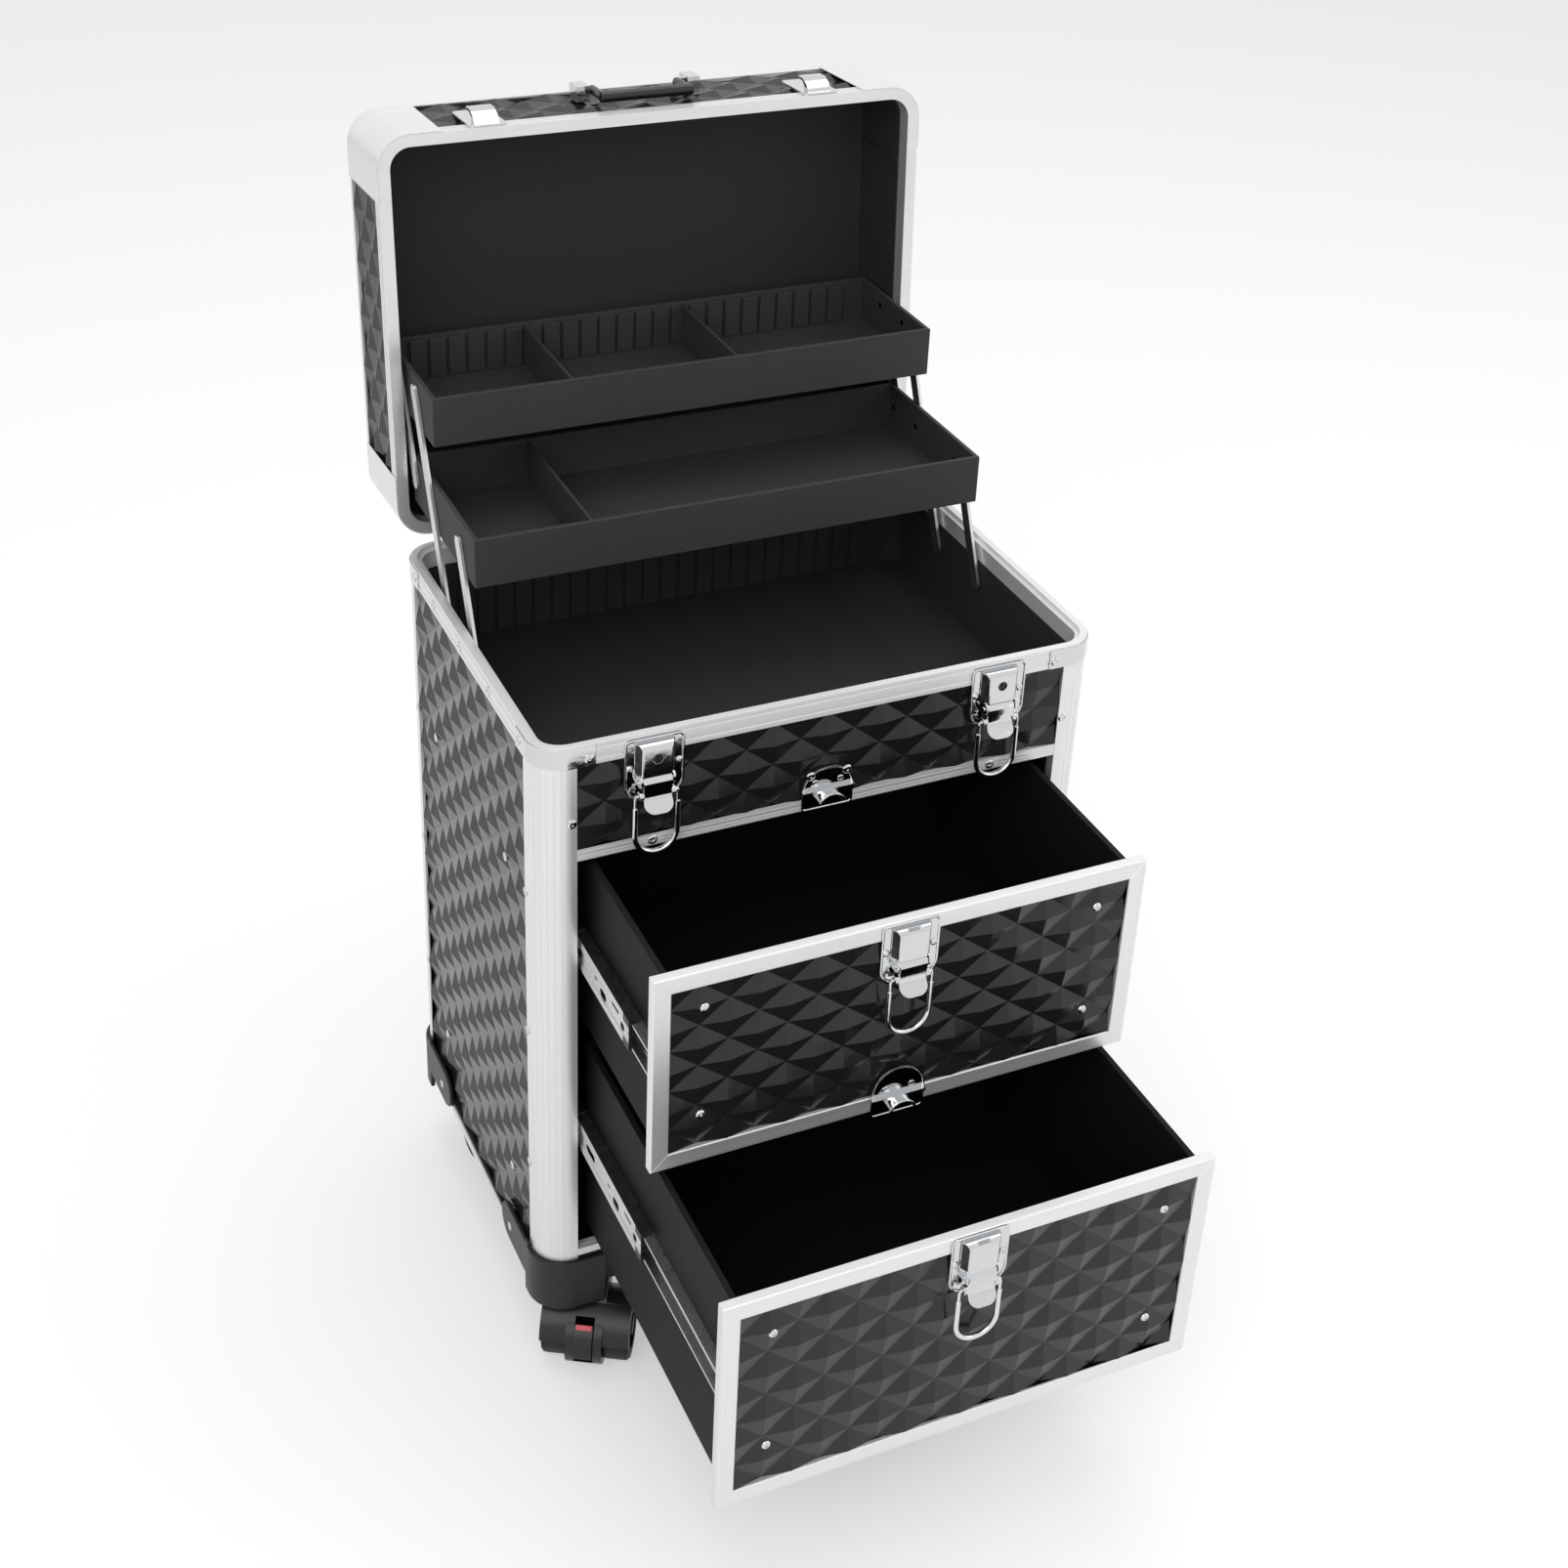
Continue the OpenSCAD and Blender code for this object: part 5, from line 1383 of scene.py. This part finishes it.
    def slides(self) -> None:
        """The drawer's own rails, their webs painted dark between bright edges as a painted
        reflection, and the middle rails.
        """
        node = f"{self.name}_slide_rails"
        half = self.slide_h / 2 - 2 * self.lap
        # Painted reflection: the webs between the races get the dark finish, while the races stay
        # bright steel.
        finished(node, STEEL, 0.2 * MM, 1).paint(STEEL, BLACK_STEEL).paint_faces(
            1, lambda c, n: abs(n.x) > 0.7 and abs(c.z - self.slide_z) < half - 1.4 * MM)
        node = f"{self.name}_middle_rails"
        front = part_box(node)[0].y
        rail = self.middle_rail(node, front)
        rail.join([rail.copy(Matrix.Diagonal((-1, 1, 1, 1)))])
        edge = self.slide_h / 2 - self.lap - 1.4 * MM
        rail.paint(STEEL, PLASTIC).paint_faces(1, lambda c, n: (
            abs(n.z) > 0.9 and abs(c.z - self.slide_z) > edge) or c.y < front + 0.7 * MM or (
            c.y < front + 9 * MM and abs(c.z - self.slide_z) > 6 * MM))
        rail.settle(
            f"{self.name}_middle_rails_slotted", body_of(node), Slot.SLIDE, [node])

    def middle_rail(self, node: str, front: float) -> Piece:
        """The left middle rail: its web sunk between two ball races, with its openings.

        Args:
            node: The CAD node of both middle rails.
            front: The rails' front end on Y.

        Returns:
            The rail.
        """
        rail = Piece.from_node(node, "rail")
        with rail.editing():
            rail.pick_faces(lambda c, n: c.x > 0)
            bpy.ops.mesh.delete(type="FACE")
        rail.groove(2, self.slide_z, 11 * MM, (0.5 * MM, 0, 0))
        rail.cut((0, front + 9 * MM, 0), (0, 1, 0)).cut((0, front + 0.7 * MM, 0), (0, 1, 0))
        x = self.lap - CASE.open_x
        for start, length, z, high in ((8, 6, -1.5, 5.0), (17, 11, 3.6, 2.6), (37, 10, -2.4, 5.4),
                                       (52, 4, 1.0, 2.0), (78, 15, 0.0, 5.0), (112, 8, 0.0, 4.0)):
            slot = Piece.block(
                "slot", (x - 3 * MM, front + start * MM, self.slide_z + (z - high / 2) * MM),
                (x + 3 * MM, front + (start + length) * MM, self.slide_z + (z + high / 2) * MM))
            slot.round_edges(lambda m, d: abs(d.x) > 0.9, high * 0.45 * MM, 4)
            rail.subtract(slot)
        turned = Matrix.Rotation(-math.pi / 2, 4, "Y")
        rivet = RivetHead(2.3 * MM, 0.6 * MM).model()
        rivet.place(Matrix.Translation((x + 0.5 * MM, front + 4.2 * MM, self.slide_z)) @ turned)
        tab = Piece.block("tab", (x + 0.2 * MM, front + 38 * MM, self.slide_z + 2.0 * MM),
                          (x + 0.9 * MM, front + 53 * MM, self.slide_z + 3.2 * MM))
        return rail.soften(0.2 * MM, 1).join([rivet, tab.soften(0.2 * MM)])


@dataclass
class Lid:
    """The lid: skins, mouth rim, edge frame, corner wraps, lining, catches and handle."""

    lining_t: float = 0.6 * MM

    def build(self) -> None:
        """Builds and dresses every piece of the lid."""
        embossed("lid_skins")
        finished("lid_rim", LID_METAL, 0.3 * MM)
        finished("lid_edge_frame", LID_METAL, 0.25 * MM)
        finished("lid_corner_wraps", LID_METAL, 0.3 * MM)
        finished("lid_front_fittings", CHROME, 0.45 * MM, 3)
        finished("hinge_lid_leaves", STEEL, 0.3 * MM)
        finished("lid_handle", GLOSS_PLASTIC, 0.5 * MM)
        finished("lid_boards", LID_LINING, 0.3 * MM)
        self.lining()

    def lining(self) -> None:
        """The lid's lining: one open shell with soft corners and a seam up one side."""
        depth = CASE.lid_h - CASE.wall - CASE.lid_rim_h
        made = Piece.sheet("lining", 2 * CASE.inner_x - 0.2 * MM, 2 * CASE.inner_y - 0.2 * MM,
                           CASE.corner_r - CASE.wall, 8)
        made.place(Matrix.Translation((0, 0, CASE.lid_h - CASE.wall - 0.1 * MM)))
        with made.editing():
            bpy.ops.mesh.select_all(action="SELECT")
            made.push((0, 0, -depth + 0.2 * MM))
            bpy.ops.mesh.delete(type="FACE")
        with made.editing():
            bpy.ops.mesh.select_all(action="SELECT")
            bpy.ops.mesh.normals_make_consistent(inside=False)
        top = CASE.lid_h - CASE.wall - 0.1 * MM
        made.round_edges(lambda m, d: m.z > top - 1e-5 and abs(d.z) < 0.1, 1.6 * MM, 3)
        made.thicken(self.lining_t, -1.0)
        made.smooth()
        seam_x = CASE.inner_x - 1.3 * MM
        seam = Piece.block("seam", (seam_x - 0.5 * MM, -CASE.inner_y + 42 * MM,
                                    CASE.lid_rim_h + 1 * MM),
                           (seam_x + 0.6 * MM, -CASE.inner_y + 44.4 * MM, top - 1.5 * MM))
        made.join([seam.soften(0.35 * MM, 3)]).place(CASE.lid_matrix()).paint(
            LID_LINING).settle("lid_lining_shell", "lid", Slot.BOARD)


@dataclass
class Trays:
    """The two cantilever trays and their arms."""

    rib_pitch: float = 13.0 * MM
    wall: float = 3.0 * MM
    floor: float = 3.0 * MM
    divider: float = 2.0 * MM

    def build(self) -> None:
        """Builds and dresses the trays, the ribbed strip and the arms."""
        self.tray("lower_tray", (-95 * MM,))
        self.tray("upper_tray", (-79 * MM, 33 * MM))
        self.ribbed_strip()
        for node in ("long_arms", "front_arms", "rear_arms"):
            finished(node, ARM_ZINC, 0.3 * MM)

    def tray(self, node: str, dividers: Sequence[float]) -> None:
        """A covered board tray: one deep box with rounded edges and its dividers.

        Args:
            node: The CAD node it stands for.
            dividers: Where the dividers stand.
        """
        low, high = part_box(node)
        half = min(-low.x, high.x)
        made = Piece.block(node, (-half, low.y, low.z), (half, high.y, high.z))
        with made.editing():
            made.pick_faces(lambda c, n: n.z > 0.9)
            bpy.ops.mesh.inset(thickness=self.wall)
            made.push((0, 0, low.z + self.floor - high.z))
        parts = []
        for x in dividers:
            wall = Piece.block("divider", (x - self.divider / 2, low.y + self.wall - 0.2 * MM,
                                           low.z + self.floor - 0.2 * MM),
                               (x + self.divider / 2, high.y - self.wall + 0.2 * MM,
                                high.z - 1.5 * MM))
            parts.append(wall.soften(0.5 * MM, 3))
        made.soften(0.55 * MM, 3).join(parts).paint(TRAY_COVER).settle(
            f"{node}_covered", node, Slot.BOARD, [node])

    def ribbed_strip(self) -> None:
        """The moulded strip of flat ribs along the upper tray's back."""
        low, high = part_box("upper_tray")
        rib = Piece.block("rib", (-5.55 * MM, high.y - 5.0 * MM, low.z + 3.2 * MM),
                          (5.55 * MM, high.y - 3.0 * MM, high.z - 2.6 * MM))
        rib.soften(0.5 * MM, 3)
        count = int((high.x - low.x - 2 * self.rib_pitch) / self.rib_pitch)
        start = low.x + self.rib_pitch * 1.5
        ribs = [rib.copy(Matrix.Translation((start + k * self.rib_pitch, 0, 0)))
                for k in range(count)]
        bpy.data.objects.remove(rib.obj)
        ribs[0].join(ribs[1:]).paint(TRAY_COVER).settle(
            "upper_tray_ribbed_strip", "upper_tray", Slot.BOARD)


@dataclass
class Casters:
    """Four hooded twin wheel casters, the front ones with a brake tab."""

    corners: tuple[str, ...] = ("front_left", "front_right", "rear_left", "rear_right")
    turns: dict[str, float] = field(
        default_factory=lambda: {"front_left": math.radians(-120), "front_right": math.pi,
                                 "rear_left": -math.pi / 2, "rear_right": math.radians(-120)})
    stem_in: tuple[float, float] = (46.0 * MM, 27.0 * MM)
    wheel_r: float = 22.5 * MM
    pedal_x: float = 30.0 * MM
    pedal_r: float = 23.7 * MM

    def build(self) -> None:
        """Dresses forks, wheels and brake pedals."""
        for corner in self.corners:
            finished(f"{corner}_fork", CASTER_PLASTIC, 1.6 * MM, 4, 25.0)
            self.wheels(f"{corner}_wheels", self.turns[corner])
        for side, way in (("left", -1), ("right", 1)):
            self.pedal(side, way)

    def wheels(self, node: str, turn: float) -> None:
        """Twin wheels with round shoulders.

        Args:
            node: The CAD node of the wheels on their axle.
            turn: The caster's turn about its stem.
        """
        low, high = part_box(node)
        axis = Vector((-math.sin(turn), math.cos(turn), 0))
        middle = (low + high) / 2
        made = Piece.from_node(node, node)
        made.round_edges(lambda m, d: (m - middle - axis * (m - middle).dot(axis)).length
                         > self.wheel_r - 2 * MM and abs(d.dot(axis)) < 0.5, 1.4 * MM, 4)
        made.soften(0.12 * MM, 1).paint(TREAD).settle(
            f"{node}_finished", body_of(node), Slot.TREAD, [node])

    def pedal(self, side: str, way: int) -> None:
        """A front caster's black brake pedal and the red strip let into its top.

        Args:
            side: left or right.
            way: -1 on the left, 1 on the right.
        """
        node = f"{side}_brake_tab"
        finished(node, CASTER_PLASTIC, 0.5 * MM)
        strip = Piece.arch("strip", (0, 0), (self.pedal_r - 0.5 * MM, self.pedal_r + 0.4 * MM),
                           (-5.2 * MM, 5.2 * MM), math.radians(4.2), 6).soften(0.3 * MM)
        strip.place(Matrix.Rotation(math.radians(41), 4, "Y"))
        strip.place(Matrix.Translation((self.pedal_x, 0, self.wheel_r)))
        stem = (way * (CASE.half_w - self.stem_in[0]),
                CASE.middle_y - CASE.half_d + self.stem_in[1], 0)
        turn = Matrix.Rotation(self.turns[f"front_{side}"], 4, "Z")
        strip.place(Matrix.Translation(stem) @ turn).paint(RED).settle(
            f"{side}_brake_strip", node, Slot.RED)


@dataclass
class TrolleyHandle:
    """The pull-out handle on the back."""

    def build(self) -> None:
        """Dresses the guides, the grip and the button."""
        finished("trolley_guides", BLACK_STEEL, 0.8 * MM, 3)
        finished("trolley_handle", GLOSS_PLASTIC, 1.2 * MM, 3)
        finished("trolley_button", PLASTIC, 0.6 * MM, 2)


# Camera, floor and light


@dataclass(frozen=True)
class PhotoCamera:
    """The photograph's camera, solved from the straight edges of the case."""

    focal_px: float = 2358.613
    axis_px: tuple[float, float] = (788.800, 609.477)
    stand: tuple[float, float, float] = (-0.5297141, -1.0823601, 1.1878172)
    turn: tuple[float, float, float] = (2.0525951, -0.4158394, 0.2981326)

    def build(self) -> bpy.types.Object:
        """Creates the camera and makes it the scene's."""
        deselect()
        bpy.ops.object.camera_add()
        camera = bpy.context.object
        camera.name = "photo_camera"
        turn = Vector(self.turn)
        axes = Matrix.Rotation(turn.length, 3, turn.normalized())
        rotation = Matrix((axes[0], -axes[1], -axes[2])).transposed()
        camera.matrix_world = Matrix.Translation(self.stand) @ rotation.to_4x4()
        lens = camera.data
        lens.sensor_width = SENSOR_WIDTH
        lens.lens = self.focal_px / IMAGE_SIDE * SENSOR_WIDTH
        lens.shift_x = (IMAGE_SIDE / 2 - self.axis_px[0]) / IMAGE_SIDE
        lens.shift_y = (self.axis_px[1] - IMAGE_SIDE / 2) / IMAGE_SIDE
        lens.clip_start, lens.clip_end = 0.02, 60.0
        bpy.context.scene.camera = camera
        return camera


@dataclass(frozen=True)
class Softbox:
    """A large square lamp that looks at the case."""

    name: str
    place: tuple[float, float, float]
    side: float
    radiance: float
    target: tuple[float, float, float] = (0.0, 0.0, 0.35)

    def build(self) -> None:
        """Creates the lamp."""
        bpy.ops.object.light_add(type="AREA", location=self.place)
        lamp = bpy.context.object
        lamp.name = self.name
        aim = Vector(self.target) - Vector(self.place)
        lamp.rotation_euler = aim.to_track_quat("-Z", "Y").to_euler()
        lamp.data.shape = "SQUARE"
        lamp.data.size = self.side
        lamp.data.energy = math.pi * self.side ** 2 * self.radiance


@dataclass
class Studio:
    """A plain pale floor and soft light."""

    floor_side: float = 16.0
    floor_colour: tuple[float, float, float] = (0.80, 0.80, 0.80)
    floor_glow: float = 0.42
    fill: float = 0.42
    softboxes: tuple[Softbox, ...] = (
        Softbox("key_softbox", (-1.7, -2.0, 2.5), 2.2, 2.0),
        Softbox("side_softbox", (2.4, -1.4, 1.7), 1.8, 1.3),
        Softbox("top_softbox", (0.3, 0.5, 3.1), 2.4, 1.4),
    )

    def build(self) -> None:
        """Creates floor, world and lamps."""
        self.floor()
        self.world()
        for box in self.softboxes:
            box.build()
        bpy.context.scene.view_settings.view_transform = "Standard"

    @staticmethod
    def seen(wiring: Wiring) -> bpy.types.NodeSocket:
        """1 for rays that show the background, straight, in metal or through glass."""
        path = wiring.add("LightPath")
        both = wiring.math("MAXIMUM", path.outputs["Is Camera Ray"], path.outputs["Is Glossy Ray"])
        return wiring.math("MAXIMUM", both, path.outputs["Is Transmission Ray"])

    def floor(self) -> None:
        """The floor, which shows as white and keeps the shadow."""
        deselect()
        bpy.ops.mesh.primitive_plane_add(size=self.floor_side)
        floor = bpy.context.object
        floor.name = "studio_floor"
        material = bpy.data.materials.new("pale_floor")
        material.use_nodes = True
        wiring = Wiring(material.node_tree)
        shader = material.node_tree.nodes["Principled BSDF"]
        shader.inputs["Base Color"].default_value = (*self.floor_colour, 1.0)
        shader.inputs["Roughness"].default_value = 0.9
        shader.inputs["Specular IOR Level"].default_value = 0.0
        shader.inputs["Emission Color"].default_value = (1.0, 1.0, 1.0, 1.0)
        glow = wiring.math("MULTIPLY", self.seen(wiring), self.floor_glow)
        material.node_tree.links.new(glow, shader.inputs["Emission Strength"])
        floor.data.materials.append(material)

    def world(self) -> None:
        """An even white room."""
        world = bpy.data.worlds.new("white_room")
        bpy.context.scene.world = world
        world.use_nodes = True
        wiring = Wiring(world.node_tree)
        background = world.node_tree.nodes["Background"]
        background.inputs["Color"].default_value = (1.0, 1.0, 1.0, 1.0)
        strength = wiring.add("MapRange", {"Value": self.seen(wiring), "To Min": self.fill,
                                           "To Max": 1.0}).outputs[0]
        world.node_tree.links.new(strength, background.inputs["Strength"])


def main() -> None:
    """Builds the studio and every sub-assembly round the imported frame."""
    logging.basicConfig(level=logging.INFO, format="%(name)s: %(message)s")
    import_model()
    PhotoCamera().build()
    Studio().build()
    drawers = (Drawer("drawer_1", 113.6 * MM, 260.8 * MM, 137.0 * MM, True),
               Drawer("drawer_2", 219.4 * MM, 100.0 * MM, 156.5 * MM, False))
    for part in (Body(), *drawers, Lid(), Trays(), Casters(), TrolleyHandle()):
        LOG.info("building %s", type(part).__name__)
        part.build()
    deselect()


if __name__ == "__main__":
    main()
